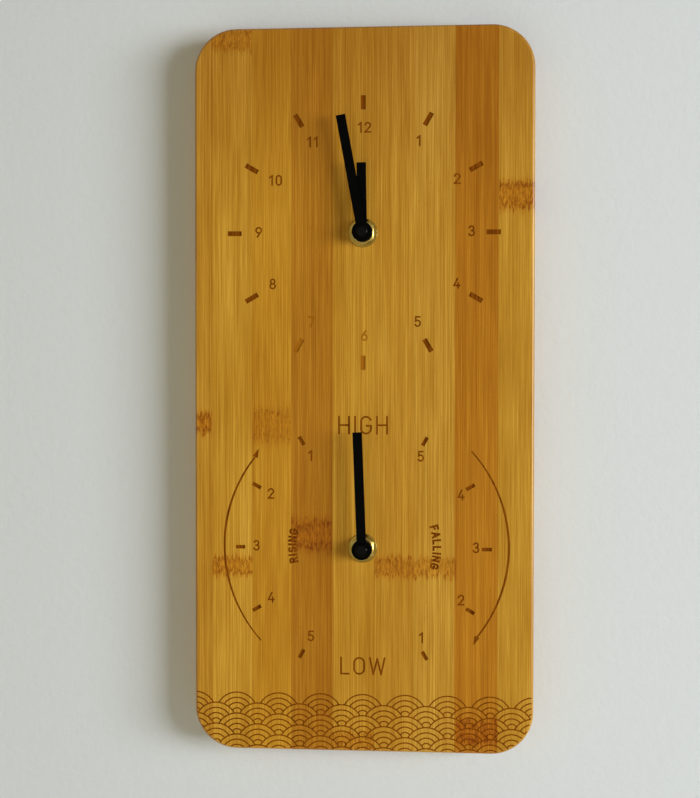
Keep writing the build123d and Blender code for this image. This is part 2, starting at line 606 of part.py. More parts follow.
def make_minute_arbor(name, centre, teeth, runs_to_face):
    """Centre arbor with the minute pinion, which runs out to the face or ends behind the hand's wheel."""
    front, rear = deck(MINUTE_DECK)
    end = deck(CLUTCH_DECK)[1] + CENTRE_REAR_PROUD
    with BuildPart() as arbor:
        gear(centre, MINUTE_DECK, teeth["minute"], teeth["reduction"], REDUCTION_DISTANCE, 0)
        disc(centre, rear, end, CENTRE_REAR_DIAMETER)
        if runs_to_face:
            disc(centre, ARBOR_END, front, MINUTE_ARBOR_DIAMETER)
        else:
            shoulder = deck(HAND_DECK)[1] + END_SHAKE
            disc(centre, shoulder, front, CENTRE_REAR_DIAMETER)
            disc(centre, shoulder - PIVOT_LENGTH, shoulder, PIVOT_DIAMETER)
        disc(centre, end - PIVOT_LENGTH - END_SHAKE, end, PIVOT_HOLE, Mode.SUBTRACT)
    finish(arbor, f"{name}_minute_arbor")


def make_clutch_spring(name, centre):
    """Dished spring behind the minute pinion that lets the hands be set."""
    rear = deck(MINUTE_DECK)[1]
    rim = deck(CLUTCH_DECK)[0] - SPRING_CLEARANCE
    inner = CENTRE_REAR_DIAMETER / 2 + COLLET_CLEARANCE
    with BuildPart() as spring:
        with BuildSketch(Plane(origin=(centre[0], rear - BOARD_THICKNESS, centre[1]), z_dir=(0, 0, 1))):
            with BuildLine():
                dish = rim - rear - SPRING_THICKNESS
                Polyline(
                    (inner, 0),
                    (SPRING_DIAMETER / 2, dish),
                    (SPRING_DIAMETER / 2, dish + SPRING_THICKNESS),
                    (inner, SPRING_THICKNESS),
                    close=True,
                )
            make_face()
        revolve(axis=Axis((centre[0], 0, centre[1]), (0, 1, 0)))
    finish(spring, f"{name}_clutch_spring")


def make_clutch_wheel(name, centre):
    """Wheel that drives the minute arbor through the clutch spring."""
    phase = mesh_phase(0, PINION_TEETH, CLUTCH_TEETH, THIRD_ANGLE + HALF_TURN)
    bore = CENTRE_REAR_DIAMETER + 2 * PIVOT_CLEARANCE
    with BuildPart() as wheel:
        gear(centre, CLUTCH_DECK, CLUTCH_TEETH, PINION_TEETH, THIRD_DISTANCE, phase)
        disc(centre, *deck(CLUTCH_DECK), bore, Mode.SUBTRACT)
    finish(wheel, f"{name}_clutch_wheel")


def rear_pivot(centre, start):
    """Arbor from a wheel to the back of the case, with its pivot."""
    shoulder = BOSS_FRONT - END_SHAKE
    disc(centre, start, shoulder, ARBOR_DIAMETER)
    disc(centre, shoulder, shoulder + PIVOT_LENGTH, PIVOT_DIAMETER)


def make_third_wheel(name, centre):
    """Third wheel and its pinion, on pivots in the front and the back of the case."""
    axis = shifted(centre, THIRD_AXIS)
    phase = mesh_phase(0, PINION_TEETH, THIRD_TEETH, THIRD_ANGLE)
    front = deck(CLUTCH_DECK)[0]
    with BuildPart() as wheel:
        gear(axis, CLUTCH_DECK, PINION_TEETH, CLUTCH_TEETH, THIRD_DISTANCE, 0)
        gear(axis, THIRD_DECK, THIRD_TEETH, PINION_TEETH, THIRD_DISTANCE, phase)
        disc(axis, deck(CLUTCH_DECK)[1], deck(THIRD_DECK)[0], ARBOR_DIAMETER)
        disc(axis, front - PIVOT_LENGTH, front, PIVOT_DIAMETER)
        rear_pivot(axis, deck(THIRD_DECK)[1])
    finish(wheel, f"{name}_third_wheel")


def make_second_wheel(name, centre):
    """Second wheel and its pinion: its front pivot runs in the end of the minute arbor."""
    phase = mesh_phase(0, PINION_TEETH, SECOND_TEETH, FIFTH_ANGLE + HALF_TURN)
    shoulder = deck(CLUTCH_DECK)[1] + CENTRE_REAR_PROUD + END_SHAKE
    with BuildPart() as wheel:
        gear(centre, THIRD_DECK, PINION_TEETH, THIRD_TEETH, THIRD_DISTANCE, 0)
        gear(centre, SECOND_DECK, SECOND_TEETH, PINION_TEETH, FIFTH_DISTANCE, phase)
        disc(centre, shoulder, deck(THIRD_DECK)[0], ARBOR_DIAMETER)
        disc(centre, shoulder - PIVOT_LENGTH, shoulder, PIVOT_DIAMETER)
        disc(centre, deck(THIRD_DECK)[1], deck(SECOND_DECK)[0], ARBOR_DIAMETER)
        rear_pivot(centre, deck(SECOND_DECK)[1])
    finish(wheel, f"{name}_second_wheel")


def make_fifth_wheel(name, centre):
    """Fifth wheel and its pinion, turning on a stud of the back of the case."""
    axis = shifted(centre, FIFTH_AXIS)
    phase = mesh_phase(0, PINION_TEETH, FIFTH_TEETH, ROTOR_ANGLE + HALF_TURN)
    bore = STUD_DIAMETER + 2 * PIVOT_CLEARANCE
    with BuildPart() as wheel:
        gear(axis, SECOND_DECK, PINION_TEETH, SECOND_TEETH, FIFTH_DISTANCE, 0)
        gear(axis, FIFTH_DECK, FIFTH_TEETH, PINION_TEETH, ROTOR_DISTANCE, phase)
        disc(axis, deck(SECOND_DECK)[1], deck(FIFTH_DECK)[0], ARBOR_DIAMETER)
        disc(axis, deck(SECOND_DECK)[0], deck(FIFTH_DECK)[1], bore, Mode.SUBTRACT)
    finish(wheel, f"{name}_fifth_wheel")


def make_rotor(name, centre):
    """Magnet of the stepping motor with its pinion."""
    axis = shifted(centre, ROTOR_AXIS)
    with BuildPart() as rotor:
        disc(axis, MAGNET_FRONT, MAGNET_REAR, MAGNET_DIAMETER)
        disc(axis, MAGNET_FRONT - PIVOT_LENGTH, MAGNET_FRONT, PIVOT_DIAMETER)
        disc(axis, MAGNET_REAR, deck(FIFTH_DECK)[0], ARBOR_DIAMETER)
        gear(axis, FIFTH_DECK, PINION_TEETH, FIFTH_TEETH, ROTOR_DISTANCE, 0)
        rear_pivot(axis, deck(FIFTH_DECK)[1])
    finish(rotor, f"{name}_rotor")


def make_reduction_wheel(name, centre, teeth):
    """Reduction wheel and its pinion, turning on a stud of the front of the case."""
    axis = shifted(centre, REDUCTION_AXIS)
    phase = mesh_phase(0, teeth["minute"], teeth["reduction"], REDUCTION_ANGLE)
    bore = STUD_DIAMETER + 2 * PIVOT_CLEARANCE
    with BuildPart() as wheel:
        gear(axis, HAND_DECK, teeth["reduction_pinion"], teeth["hand"], REDUCTION_DISTANCE, 0)
        gear(axis, MINUTE_DECK, teeth["reduction"], teeth["minute"], REDUCTION_DISTANCE, phase)
        disc(axis, deck(HAND_DECK)[1], deck(MINUTE_DECK)[0], ARBOR_DIAMETER)
        disc(axis, deck(HAND_DECK)[0], deck(MINUTE_DECK)[1], bore, Mode.SUBTRACT)
    finish(wheel, f"{name}_reduction_wheel")


def make_knob(name, centre, teeth):
    """Setting knob: its pinion turns the reduction wheel, its ribbed head lies in the case's well."""
    axis = shifted(centre, KNOB_AXIS)
    reduction_phase = mesh_phase(0, teeth["minute"], teeth["reduction"], REDUCTION_ANGLE)
    phase = mesh_phase(reduction_phase, teeth["reduction"], teeth["minute"], KNOB_ANGLE)
    front, rear = deck(MINUTE_DECK)
    head_front = KNOB_REAR - KNOB_THICKNESS
    with BuildPart() as knob:
        disc(axis, head_front, KNOB_REAR, KNOB_DIAMETER)
        with BuildSketch(face_plane(KNOB_REAR, axis)):
            with PolarLocations(KNOB_DIAMETER / 2, KNOB_GRIP_COUNT):
                Circle(KNOB_GRIP_DIAMETER / 2)
        extrude(amount=KNOB_THICKNESS, mode=Mode.SUBTRACT)
        gear(axis, MINUTE_DECK, teeth["minute"], teeth["reduction"], REDUCTION_DISTANCE, phase)
        disc(axis, rear, head_front, KNOB_SHAFT_DIAMETER)
        disc(axis, front - PIVOT_LENGTH, front, PIVOT_DIAMETER)
    finish(knob, f"{name}_setting_knob")


def make_stator(name, centre):
    """Iron plate round the magnet, with two arms that reach to the coil."""
    width = COIL_X + CORE_WIDTH - ROTOR_AXIS[0] + STATOR_BODY / 2
    window_width = width - STATOR_BODY
    with BuildPart() as stator:
        with BuildSketch(face_plane(STATOR_REAR, shifted(centre, ROTOR_AXIS))):
            with Locations((-STATOR_BODY / 2, 0)):
                Rectangle(width, STATOR_HEIGHT, align=(Align.MIN, Align.CENTER))
            with Locations((STATOR_BODY / 2, 0)):
                Rectangle(window_width, STATOR_WINDOW, align=(Align.MIN, Align.CENTER), mode=Mode.SUBTRACT)
            Circle(STATOR_HOLE / 2, mode=Mode.SUBTRACT)
        extrude(amount=STATOR_THICKNESS)
    finish(stator, f"{name}_stator")


def coil_plane(centre, height):
    """Plane across the coil's axis, at a height above the middle of the coil."""
    x, z = shifted(centre, (COIL_X, ROTOR_AXIS[1] + height))
    return Plane(origin=(x, COIL_DEPTH - BOARD_THICKNESS, z), z_dir=(0, 0, 1))


def make_coil_core(name, centre):
    """Iron bar through the coil, lying on the two arms of the stator."""
    with BuildPart() as core:
        with BuildSketch(coil_plane(centre, -STATOR_HEIGHT / 2)):
            Rectangle(CORE_WIDTH, STATOR_THICKNESS)
        extrude(amount=STATOR_HEIGHT)
    finish(core, f"{name}_coil_core")


def make_coil_bobbin(name, centre):
    """Plastic spool with two flanges on the coil's core."""
    start = coil_plane(centre, -COIL_LENGTH / 2)
    upper = coil_plane(centre, COIL_LENGTH / 2 - COIL_FLANGE)
    with BuildPart() as bobbin:
        with BuildSketch(start):
            Circle(SLEEVE_DIAMETER / 2)
        extrude(amount=COIL_LENGTH)
        with BuildSketch(start, upper):
            Circle(COIL_DIAMETER / 2)
        extrude(amount=COIL_FLANGE)
        with BuildSketch(start):
            Rectangle(CORE_WIDTH + 2 * PIVOT_CLEARANCE, STATOR_THICKNESS + 2 * PIVOT_CLEARANCE)
        extrude(amount=COIL_LENGTH, mode=Mode.SUBTRACT)
    finish(bobbin, f"{name}_coil_bobbin")


def make_coil_winding(name, centre):
    """Copper winding between the flanges of the spool."""
    with BuildPart() as winding:
        with BuildSketch(coil_plane(centre, COIL_FLANGE - COIL_LENGTH / 2)):
            Circle(COIL_DIAMETER / 2 - WINDING_INSET)
            Circle(SLEEVE_DIAMETER / 2, mode=Mode.SUBTRACT)
        extrude(amount=COIL_LENGTH - 2 * COIL_FLANGE)
    finish(winding, f"{name}_coil_winding")


def make_circuit_board(name, centre):
    """Small circuit board on two posts of the case."""
    with BuildPart() as boardlet:
        with BuildSketch(face_plane(BOARDLET_REAR, shifted(centre, BOARDLET_CENTRE))):
            Rectangle(BOARDLET_WIDTH, BOARDLET_HEIGHT)
        extrude(amount=BOARDLET_THICKNESS)
    finish(boardlet, f"{name}_circuit_board")


def make_crystal(name, centre):
    """Quartz crystal's can, lying on the circuit board."""
    x, z = shifted(centre, BOARDLET_CENTRE)
    depth = BOARDLET_REAR + CRYSTAL_DIAMETER / 2 + CONTACT_CLEARANCE
    with BuildPart() as crystal:
        with Locations(Plane(origin=(x, depth - BOARD_THICKNESS, z), z_dir=(1, 0, 0))):
            Cylinder(CRYSTAL_DIAMETER / 2, CRYSTAL_LENGTH)
    finish(crystal, f"{name}_crystal")


def make_battery(name, centre):
    """Round cell that lies across the case, with its nub to the right."""
    x, z = shifted(centre, (BAY_WIDTH / 2 - CONTACT_THICKNESS - CONTACT_CLEARANCE, BAY_MIDDLE))
    tip = Plane(origin=(x, BATTERY_DEPTH - BOARD_THICKNESS, z), z_dir=(-1, 0, 0))
    with BuildPart() as battery:
        with BuildSketch(tip.offset(BATTERY_NUB_LENGTH)):
            Circle(BATTERY_DIAMETER / 2)
        extrude(amount=BATTERY_LENGTH - BATTERY_NUB_LENGTH)
        fillet(battery.edges(), BATTERY_EDGE_ROUND)
        with BuildSketch(tip):
            Circle(BATTERY_NUB_DIAMETER / 2)
        extrude(amount=BATTERY_NUB_LENGTH)
    finish(battery, f"{name}_battery")


def make_positive_contact(name, centre):
    """Flat contact on the right end of the battery bay."""
    with BuildPart() as contact:
        place = shifted(centre, (BAY_WIDTH / 2, BAY_MIDDLE))
        with BuildSketch(face_plane(BATTERY_DEPTH + CONTACT_WIDTH / 2, place)):
            Rectangle(CONTACT_THICKNESS, CONTACT_HEIGHT, align=(Align.MAX, Align.CENTER))
        extrude(amount=CONTACT_WIDTH)
    finish(contact, f"{name}_positive_contact")


def make_negative_contact(name, centre):
    """Bowed leaf on the left end of the battery bay."""
    reach = LEAF_SPACE - 2 * CONTACT_CLEARANCE
    half = CONTACT_HEIGHT / 2
    with BuildPart() as contact:
        place = shifted(centre, (-BAY_WIDTH / 2, BAY_MIDDLE))
        with BuildSketch(face_plane(BATTERY_DEPTH + CONTACT_WIDTH / 2, place)):
            with BuildLine():
                ThreePointArc((0, -half), (reach, 0), (0, half))
                Line((0, half), (0, half - CONTACT_THICKNESS))
                inner = half - CONTACT_THICKNESS
                ThreePointArc((0, inner), (reach - CONTACT_THICKNESS, 0), (0, -inner))
                Line((0, -inner), (0, -half))
            make_face()
        extrude(amount=CONTACT_WIDTH)
    finish(contact, f"{name}_negative_contact")


def make_movement(name, centre, teeth):
    """Everything that both movements share, from the nut on the face to the knob at the back."""
    for make in (make_case_front, make_case_rear, make_bush, make_gasket, make_washer, make_nut):
        make(name, centre)
    for make in (make_cap, make_clutch_spring, make_clutch_wheel, make_third_wheel, make_second_wheel):
        make(name, centre)
    for make in (make_fifth_wheel, make_rotor, make_stator, make_coil_core, make_coil_bobbin):
        make(name, centre)
    for make in (make_coil_winding, make_circuit_board, make_crystal, make_battery):
        make(name, centre)
    for make in (make_positive_contact, make_negative_contact):
        make(name, centre)
    make_reduction_wheel(name, centre, teeth)
    make_knob(name, centre, teeth)


os.makedirs("parts", exist_ok=True)
make_board()
make_hanger_plate()
make_hanger_screws()
make_movement("time", TIME_CENTRE, TIME_TEETH)
make_hour_wheel("time", TIME_CENTRE, TIME_TEETH)
make_minute_arbor("time", TIME_CENTRE, TIME_TEETH, runs_to_face=True)
make_hand(
    "time_hour_hand",
    TIME_CENTRE,
    HOUR_COLLET_REAR,
    HOUR_PIPE_DIAMETER,
    HOUR_HAND_LENGTH,
    HOUR_HAND_ANGLE,
)
make_hand(
    "time_minute_hand",
    TIME_CENTRE,
    MINUTE_COLLET_REAR,
    MINUTE_ARBOR_DIAMETER,
    MINUTE_HAND_LENGTH,
    MINUTE_HAND_ANGLE,
)
make_movement("tide", TIDE_CENTRE, TIDE_TEETH)
make_tide_wheel("tide", TIDE_CENTRE, TIDE_TEETH)
make_minute_arbor("tide", TIDE_CENTRE, TIDE_TEETH, runs_to_face=False)
make_hand(
    "tide_hand",
    TIDE_CENTRE,
    MINUTE_COLLET_REAR,
    MINUTE_ARBOR_DIAMETER,
    TIDE_HAND_LENGTH,
    TIDE_HAND_ANGLE,
)
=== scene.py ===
import math

import bmesh
import bpy
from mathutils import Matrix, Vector


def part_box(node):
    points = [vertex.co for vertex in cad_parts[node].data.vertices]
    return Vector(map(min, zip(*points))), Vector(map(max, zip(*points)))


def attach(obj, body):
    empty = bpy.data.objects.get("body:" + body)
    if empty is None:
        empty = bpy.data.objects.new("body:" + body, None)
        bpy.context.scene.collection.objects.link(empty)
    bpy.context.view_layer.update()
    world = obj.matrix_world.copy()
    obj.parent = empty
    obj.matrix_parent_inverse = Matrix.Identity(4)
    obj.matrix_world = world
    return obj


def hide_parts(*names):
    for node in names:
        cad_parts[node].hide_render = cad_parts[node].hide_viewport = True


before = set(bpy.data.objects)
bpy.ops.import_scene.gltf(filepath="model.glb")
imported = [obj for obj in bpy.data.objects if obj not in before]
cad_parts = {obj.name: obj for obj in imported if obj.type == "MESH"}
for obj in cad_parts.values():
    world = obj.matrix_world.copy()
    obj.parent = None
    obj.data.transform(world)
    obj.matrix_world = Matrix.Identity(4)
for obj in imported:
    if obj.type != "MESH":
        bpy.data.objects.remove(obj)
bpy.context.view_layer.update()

# Board: one slab of bamboo strips glued edge to edge, sanded, oiled, and rounded at its corners.
# A laser has burnt both dials, the words and the band of scallops into the face,
# so every line is a shallow groove with a brown floor.

board_low, board_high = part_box("board")
face = board_low.y
board_middle = (board_low + board_high) / 2
groove_depth = 0.00013
number_height = 0.0046
number_line = 0.00078
number_gap_share = 0.46
hour_angle = 30
time_number_reach = (0.0541, 0.0537)
tide_number_reach = (0.0560, 0.0544)
time_print_shift = (0.0006, 0.0006)
tide_print_shift = (0.0013, 0.0008)
high_height = 0.0083
high_rise = 0.0612
low_height = 0.0080
low_drop = 0.0589
word_line = 0.00088
word_gap_share = 0.36
side_word_height = 0.0034
side_word_line = 0.00100
falling_radius = 0.0355
rising_radius = 0.0367
side_word_gap_share = 0.5
side_arc_radius = 0.0709
side_arc_tail = 42.3
side_arc_head = 38.8
side_arc_steps = 42
side_arc_lines = (0.0006, 0.0010, 0.0011, 0.0008)
side_arc_spans = len(side_arc_lines) - 1
arrow_length = 0.0042
arrow_width = 0.0028
arrow_tip = 0.0002
arrow_lean = 16
scallop_columns = 8
scallop_rows = 6
scallop_top = 0.0285
scallop_line = 0.00062
scallop_rise_share = 0.5
scallop_arc_step = 8
scallop_ring_shares = (1.0, 0.75, 0.5, 0.25)


def middle(node_name):
    """Middle of a CAD node's box."""
    low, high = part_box(node_name)
    return (low + high) / 2


def arc(x, z, radius_x, radius_z, start, end, step=10):
    """Points along an ellipse, with angles in degrees counted from X towards Z."""
    count = max(2, math.ceil(abs(end - start) / step))
    angles = [math.radians(start + (end - start) * place / count) for place in range(count + 1)]
    return [(x + radius_x * math.cos(angle), z + radius_z * math.sin(angle)) for angle in angles]


def ring(x, z, radius_x, radius_z):
    """Points of a closed ellipse."""
    return arc(x, z, radius_x, radius_z, 0, 360)


def upright_ring(width):
    """Points of a closed ring with straight sides and round ends, one cap height tall."""
    half = width / 2
    points = arc(half, 1 - half, half, half, 0, 180) + arc(half, half, half, half, 180, 360)
    return points + points[:1]


# Each sign is its width and its strokes, as shares of the height of a capital.
sign_shares = {
    "0": (0.52, [upright_ring(0.52)]),
    "1": (0.26, [[(0.26, 0), (0.26, 1)], [(0, 0.79), (0.26, 1)]]),
    "2": (0.54, [arc(0.27, 0.73, 0.27, 0.27, 170, -40) + [(0, 0)], [(0, 0), (0.54, 0)]]),
    "3": (0.54, [arc(0.26, 0.76, 0.24, 0.24, 160, -90), arc(0.26, 0.26, 0.28, 0.26, 90, -160)]),
    "4": (0.58, [[(0.36, 1), (0, 0.26)], [(0, 0.26), (0.58, 0.26)], [(0.44, 0.5), (0.44, 0)]]),
    "5": (0.54, [[(0.08, 1), (0.5, 1)], arc(0.26, 0.31, 0.28, 0.31, 128, -150), [(0.08, 1), (0.06, 0.52)]]),
    "6": (0.56, [ring(0.28, 0.29, 0.28, 0.29), [(0.42, 1), (0.05, 0.46)]]),
    "7": (0.52, [[(0, 1), (0.52, 1)], [(0.52, 1), (0.17, 0)]]),
    "8": (0.54, [ring(0.27, 0.755, 0.225, 0.245), ring(0.27, 0.255, 0.27, 0.255)]),
    "9": (0.56, [ring(0.28, 0.71, 0.28, 0.29), [(0.51, 0.54), (0.14, 0)]]),
    "A": (0.64, [[(0, 0), (0.32, 1)], [(0.32, 1), (0.64, 0)], [(0.11, 0.32), (0.53, 0.32)]]),
    "F": (0.46, [[(0, 0), (0, 1)], [(0, 1), (0.46, 1)], [(0, 0.52), (0.4, 0.52)]]),
    "G": (0.6, [arc(0.3, 0.7, 0.3, 0.3, 25, 180) + arc(0.3, 0.3, 0.3, 0.3, 180, 360) + [(0.6, 0.46)],
                [(0.6, 0.46), (0.34, 0.46)]]),
    "H": (0.6, [[(0, 0), (0, 1)], [(0, 0.5), (0.6, 0.5)], [(0.6, 0), (0.6, 1)]]),
    "I": (0.0, [[(0, 0), (0, 1)]]),
    "L": (0.46, [[(0, 0), (0, 1)], [(0, 0), (0.46, 0)]]),
    "N": (0.6, [[(0, 0), (0, 1)], [(0, 1), (0.6, 0)], [(0.6, 0), (0.6, 1)]]),
    "O": (0.62, [upright_ring(0.62)]),
    "R": (0.54, [[(0, 0), (0, 1)],
                 [(0, 1), (0.28, 1)] + arc(0.28, 0.755, 0.25, 0.245, 80, -90) + [(0, 0.51)],
                 [(0.3, 0.51), (0.54, 0)]]),
    "S": (0.54, [arc(0.27, 0.75, 0.26, 0.25, 35, 260) + arc(0.27, 0.25, 0.27, 0.25, 80, -150)]),
    "W": (0.92, [[(0, 1), (0.22, 0)], [(0.22, 0), (0.46, 0.95)],
                 [(0.46, 0.95), (0.7, 0)], [(0.7, 0), (0.92, 1)]]),
}
laser_passes = {}


def burn(points, widths, laser_pass):
    """Notes one groove: its points on the face, its width along them, and the pass that cuts it."""
    closed = math.dist(points[0], points[-1]) < groove_depth / 10
    if closed:
        points = points[:-1]
    if not isinstance(widths, (list, tuple)):
        widths = [widths] * len(points)
        if not closed:
            points = [beyond(points[1], points[0], widths[0] / 2)] + points[1:]
            points = points[:-1] + [beyond(points[-2], points[-1], widths[0] / 2)]
    laser_passes.setdefault(laser_pass, []).append((points, widths, closed))


def beyond(start, end, reach):
    """The point a little past the end of a line, so that strokes that meet fill their corner."""
    length = math.dist(start, end)
    return tuple(e + (e - s) * reach / length for s, e in zip(start, end))


def write(words, height, line, gap_share, place):
    """Burns a row of signs: place turns a length along the row and a rise into a point on the face."""
    widths = [sign_shares[sign][0] for sign in words]
    length = sum(widths) + gap_share * (len(words) - 1)
    start = -length / 2
    for sign, width in zip(words, widths):
        for order, stroke in enumerate(sign_shares[sign][1]):
            row_middle = (start + width / 2) * height
            points = [place(row_middle, (x - width / 2) * height, (z - 0.5) * height) for x, z in stroke]
            burn(points, line, order)
        start += width + gap_share


def level(centre):
    """Places signs upright about a point of the face."""
    return lambda row_middle, along, rise: (centre[0] + row_middle + along, centre[1] + rise)


def around(centre, radius, clock_angle):
    """Places signs clockwise round a point of the face, with their heads outwards."""
    def place(row_middle, along, rise):
        angle = math.radians(clock_angle) + row_middle / radius
        reach = radius + rise
        return (
            centre[0] + reach * math.sin(angle) + along * math.cos(angle),
            centre[1] + reach * math.cos(angle) - along * math.sin(angle),
        )
    return place


def on_dial(centre, radius, clock_angle):
    """A point of the face, from its distance to the middle of a dial and its angle from twelve o'clock."""
    angle = math.radians(clock_angle)
    return (centre[0] + radius * math.sin(angle), centre[1] + radius * math.cos(angle))


def number(value, dial, reach, clock_angle):
    """Burns an upright number inside the reach that a dial's numbers have across and upwards."""
    words = str(value)
    width = sum(sign_shares[sign][0] for sign in words) + number_gap_share * (len(words) - 1)
    angle = math.radians(clock_angle)
    x = dial[0] + (reach[0] - number_height * width / 2) * math.sin(angle)
    z = dial[1] + (reach[1] - number_height / 2) * math.cos(angle)
    write(words, number_height, number_line, number_gap_share, level((x, z)))


time_dial = (middle("time_washer").x, middle("time_washer").z)
tide_dial = (middle("tide_washer").x, middle("tide_washer").z)
time_print = (time_dial[0] + time_print_shift[0], time_dial[1] + time_print_shift[1])
tide_print = (tide_dial[0] + tide_print_shift[0], tide_dial[1] + tide_print_shift[1])
for hour in range(1, 13):
    number(hour, time_print, time_number_reach, hour_angle * hour)
for side in (0, 180):
    for hour in range(1, 6):
        number(6 - hour, tide_print, tide_number_reach, side + hour_angle * hour)
    line = []
    widths = []
    for step in range(side_arc_steps + 1):
        share = step / side_arc_steps
        turn = 90 + side - side_arc_tail + share * (side_arc_tail + side_arc_head)
        span = min(int(share * side_arc_spans), side_arc_spans - 1)
        part = share * side_arc_spans - span
        line.append(on_dial(tide_print, side_arc_radius, turn))
        widths.append(side_arc_lines[span] * (1 - part) + side_arc_lines[span + 1] * part)
    burn(line, widths, 0)
    lean = math.radians(turn - arrow_lean)
    tip = (line[-1][0] + arrow_length * math.cos(lean), line[-1][1] - arrow_length * math.sin(lean))
    burn([beyond(tip, line[-1], arrow_tip), tip], [arrow_width, arrow_tip], 1)
write("HIGH", high_height, word_line, word_gap_share, level((tide_dial[0], tide_dial[1] + high_rise)))
write("LOW", low_height, word_line, word_gap_share, level((tide_dial[0], tide_dial[1] - low_drop)))
for word, radius, turn in (("FALLING", falling_radius, 90), ("RISING", rising_radius, 270)):
    write(word, side_word_height, side_word_line, side_word_gap_share, around(tide_print, radius, turn))

scallop_radius = (board_high.x - board_low.x) / (2 * scallop_columns)
scallop_apart_share = math.hypot(1, scallop_rise_share)
for row in range(scallop_rows):
    z = board_low.z + scallop_top - scallop_radius - row * scallop_radius * scallop_rise_share
    for column in range(scallop_columns + 1):
        x = board_low.x + (2 * column + row % 2) * scallop_radius
        for share in scallop_ring_shares:
            seen = (share * share + scallop_rise_share ** 2) / (2 * share * scallop_apart_share)
            half = math.degrees(math.asin(seen) + math.atan(scallop_rise_share))
            radius = share * scallop_radius
            points = arc(x, z, radius, radius, 90 + half, 90 - half, scallop_arc_step)
            burn(points, scallop_line, row % 2 if share == 1 else 2)


def node(tree, kind, inputs=None, **settings):
    """Adds a node: settings are its properties, and an input is a value or another node's socket."""
    new = tree.nodes.new(kind)
    for name, value in settings.items():
        setattr(new, name, value)
    for key, value in (inputs or {}).items():
        if isinstance(value, bpy.types.NodeSocket):
            tree.links.new(value, new.inputs[key])
        else:
            new.inputs[key].default_value = value
    return new


def geometry_tree(name, sizes):
    """Starts a Geometry Nodes tree with named sizes and a finish, and gives it with its input node."""
    tree = bpy.data.node_groups.new(name, "GeometryNodeTree")
    tree.interface.new_socket("Geometry", in_out="INPUT", socket_type="NodeSocketGeometry")
    for size in sizes:
        tree.interface.new_socket(size, in_out="INPUT", socket_type="NodeSocketFloat")
    tree.interface.new_socket("Finish", in_out="INPUT", socket_type="NodeSocketMaterial")
    tree.interface.new_socket("Geometry", in_out="OUTPUT", socket_type="NodeSocketGeometry")
    return tree, tree.nodes.new("NodeGroupInput").outputs


def finish_tree(tree, shape, finish):
    """Ends a tree in real meshes that carry the finish."""
    real = node(tree, "GeometryNodeRealizeInstances", {"Geometry": shape})
    painted = node(tree, "GeometryNodeSetMaterial", {"Geometry": real.outputs[0], "Material": finish})
    node(tree, "NodeGroupOutput", {"Geometry": painted.outputs[0]})


def made_by(tree, carrier, sizes):
    """The mesh that a tree makes from a carrier with these sizes, as plain data."""
    modifier = carrier.modifiers.new(tree.name, "NODES")
    modifier.node_group = tree
    for item in tree.interface.items_tree:
        if item.in_out == "INPUT" and item.name in sizes:
            modifier[item.identifier] = sizes[item.name]
    return settled(carrier)


def settled(carrier):
    """The carrier's mesh with its modifiers worked in, and the carrier removed."""
    bpy.context.view_layer.update()
    depsgraph = bpy.context.evaluated_depsgraph_get()
    mesh = bpy.data.meshes.new_from_object(carrier.evaluated_get(depsgraph), depsgraph=depsgraph)
    bpy.data.objects.remove(carrier)
    return mesh


def linked(name, data):
    """A new object at the origin."""
    new = bpy.data.objects.new(name, data)
    bpy.context.scene.collection.objects.link(new)
    return new


def new_material(name):
    """A material with its tree, its main shader and its place in the object's own frame."""
    material = bpy.data.materials.new(name)
    material.use_nodes = True
    tree = material.node_tree
    shader = tree.nodes["Principled BSDF"]
    place = node(tree, "ShaderNodeTexCoord").outputs["Object"]
    return material, tree, shader, place


def maths(tree, operation, *values):
    """Result of a Math node on values or sockets."""
    return node(tree, "ShaderNodeMath", dict(enumerate(values)), operation=operation).outputs[0]


def mixed(tree, factor, first, second, blend="MIX"):
    """Colour between two colours or sockets."""
    inputs = {0: factor, 6: first, 7: second}
    return node(tree, "ShaderNodeMix", inputs, data_type="RGBA", blend_type=blend).outputs[2]


def ranged(tree, value, low, high, start=0.0, end=1.0):
    """A value brought from one range to another, with soft ends."""
    inputs = {"Value": value, "From Min": low, "From Max": high, "To Min": start, "To Max": end}
    return node(tree, "ShaderNodeMapRange", inputs, interpolation_type="SMOOTHSTEP").outputs[0]


def streaks(tree, place, scale, seed, detail=3.0, roughness=0.55):
    """Noise stretched along the grain: scale is the count of streaks to a metre each way."""
    stretched = node(tree, "ShaderNodeMapping", {"Vector": place, "Scale": scale}).outputs[0]
    inputs = {"Vector": stretched, "W": seed, "Scale": 1.0, "Detail": detail, "Roughness": roughness}
    return node(tree, "ShaderNodeTexNoise", inputs, noise_dimensions="4D").outputs["Fac"]


def tinted(tree, colour, value, dark, light):
    """A colour made darker or lighter as a noise falls below or rises above its middle."""
    return mixed(tree, 1.0, colour, mixed(tree, ranged(tree, value, 0.3, 0.7), dark, light), "MULTIPLY")


def bumped(tree, height, distance, strength=1.0):
    """Normal of a surface that rises and falls with a value."""
    inputs = {"Height": height, "Distance": distance, "Strength": strength}
    return node(tree, "ShaderNodeBump", inputs).outputs[0]


strip_edges = (-0.0758, -0.0555, -0.0359, -0.0155, 0.0057, 0.0247, 0.0455, 0.0666)
strip_colours = (
    (0.50, 0.245, 0.018, 1),
    (0.56, 0.290, 0.023, 1),
    (0.53, 0.256, 0.015, 1),
    (0.435, 0.184, 0.0095, 1),
    (0.52, 0.262, 0.0195, 1),
    (0.525, 0.265, 0.0215, 1),
    (0.54, 0.286, 0.027, 1),
    (0.43, 0.170, 0.007, 1),
    (0.51, 0.260, 0.020, 1),
)
glue_line = 0.00012
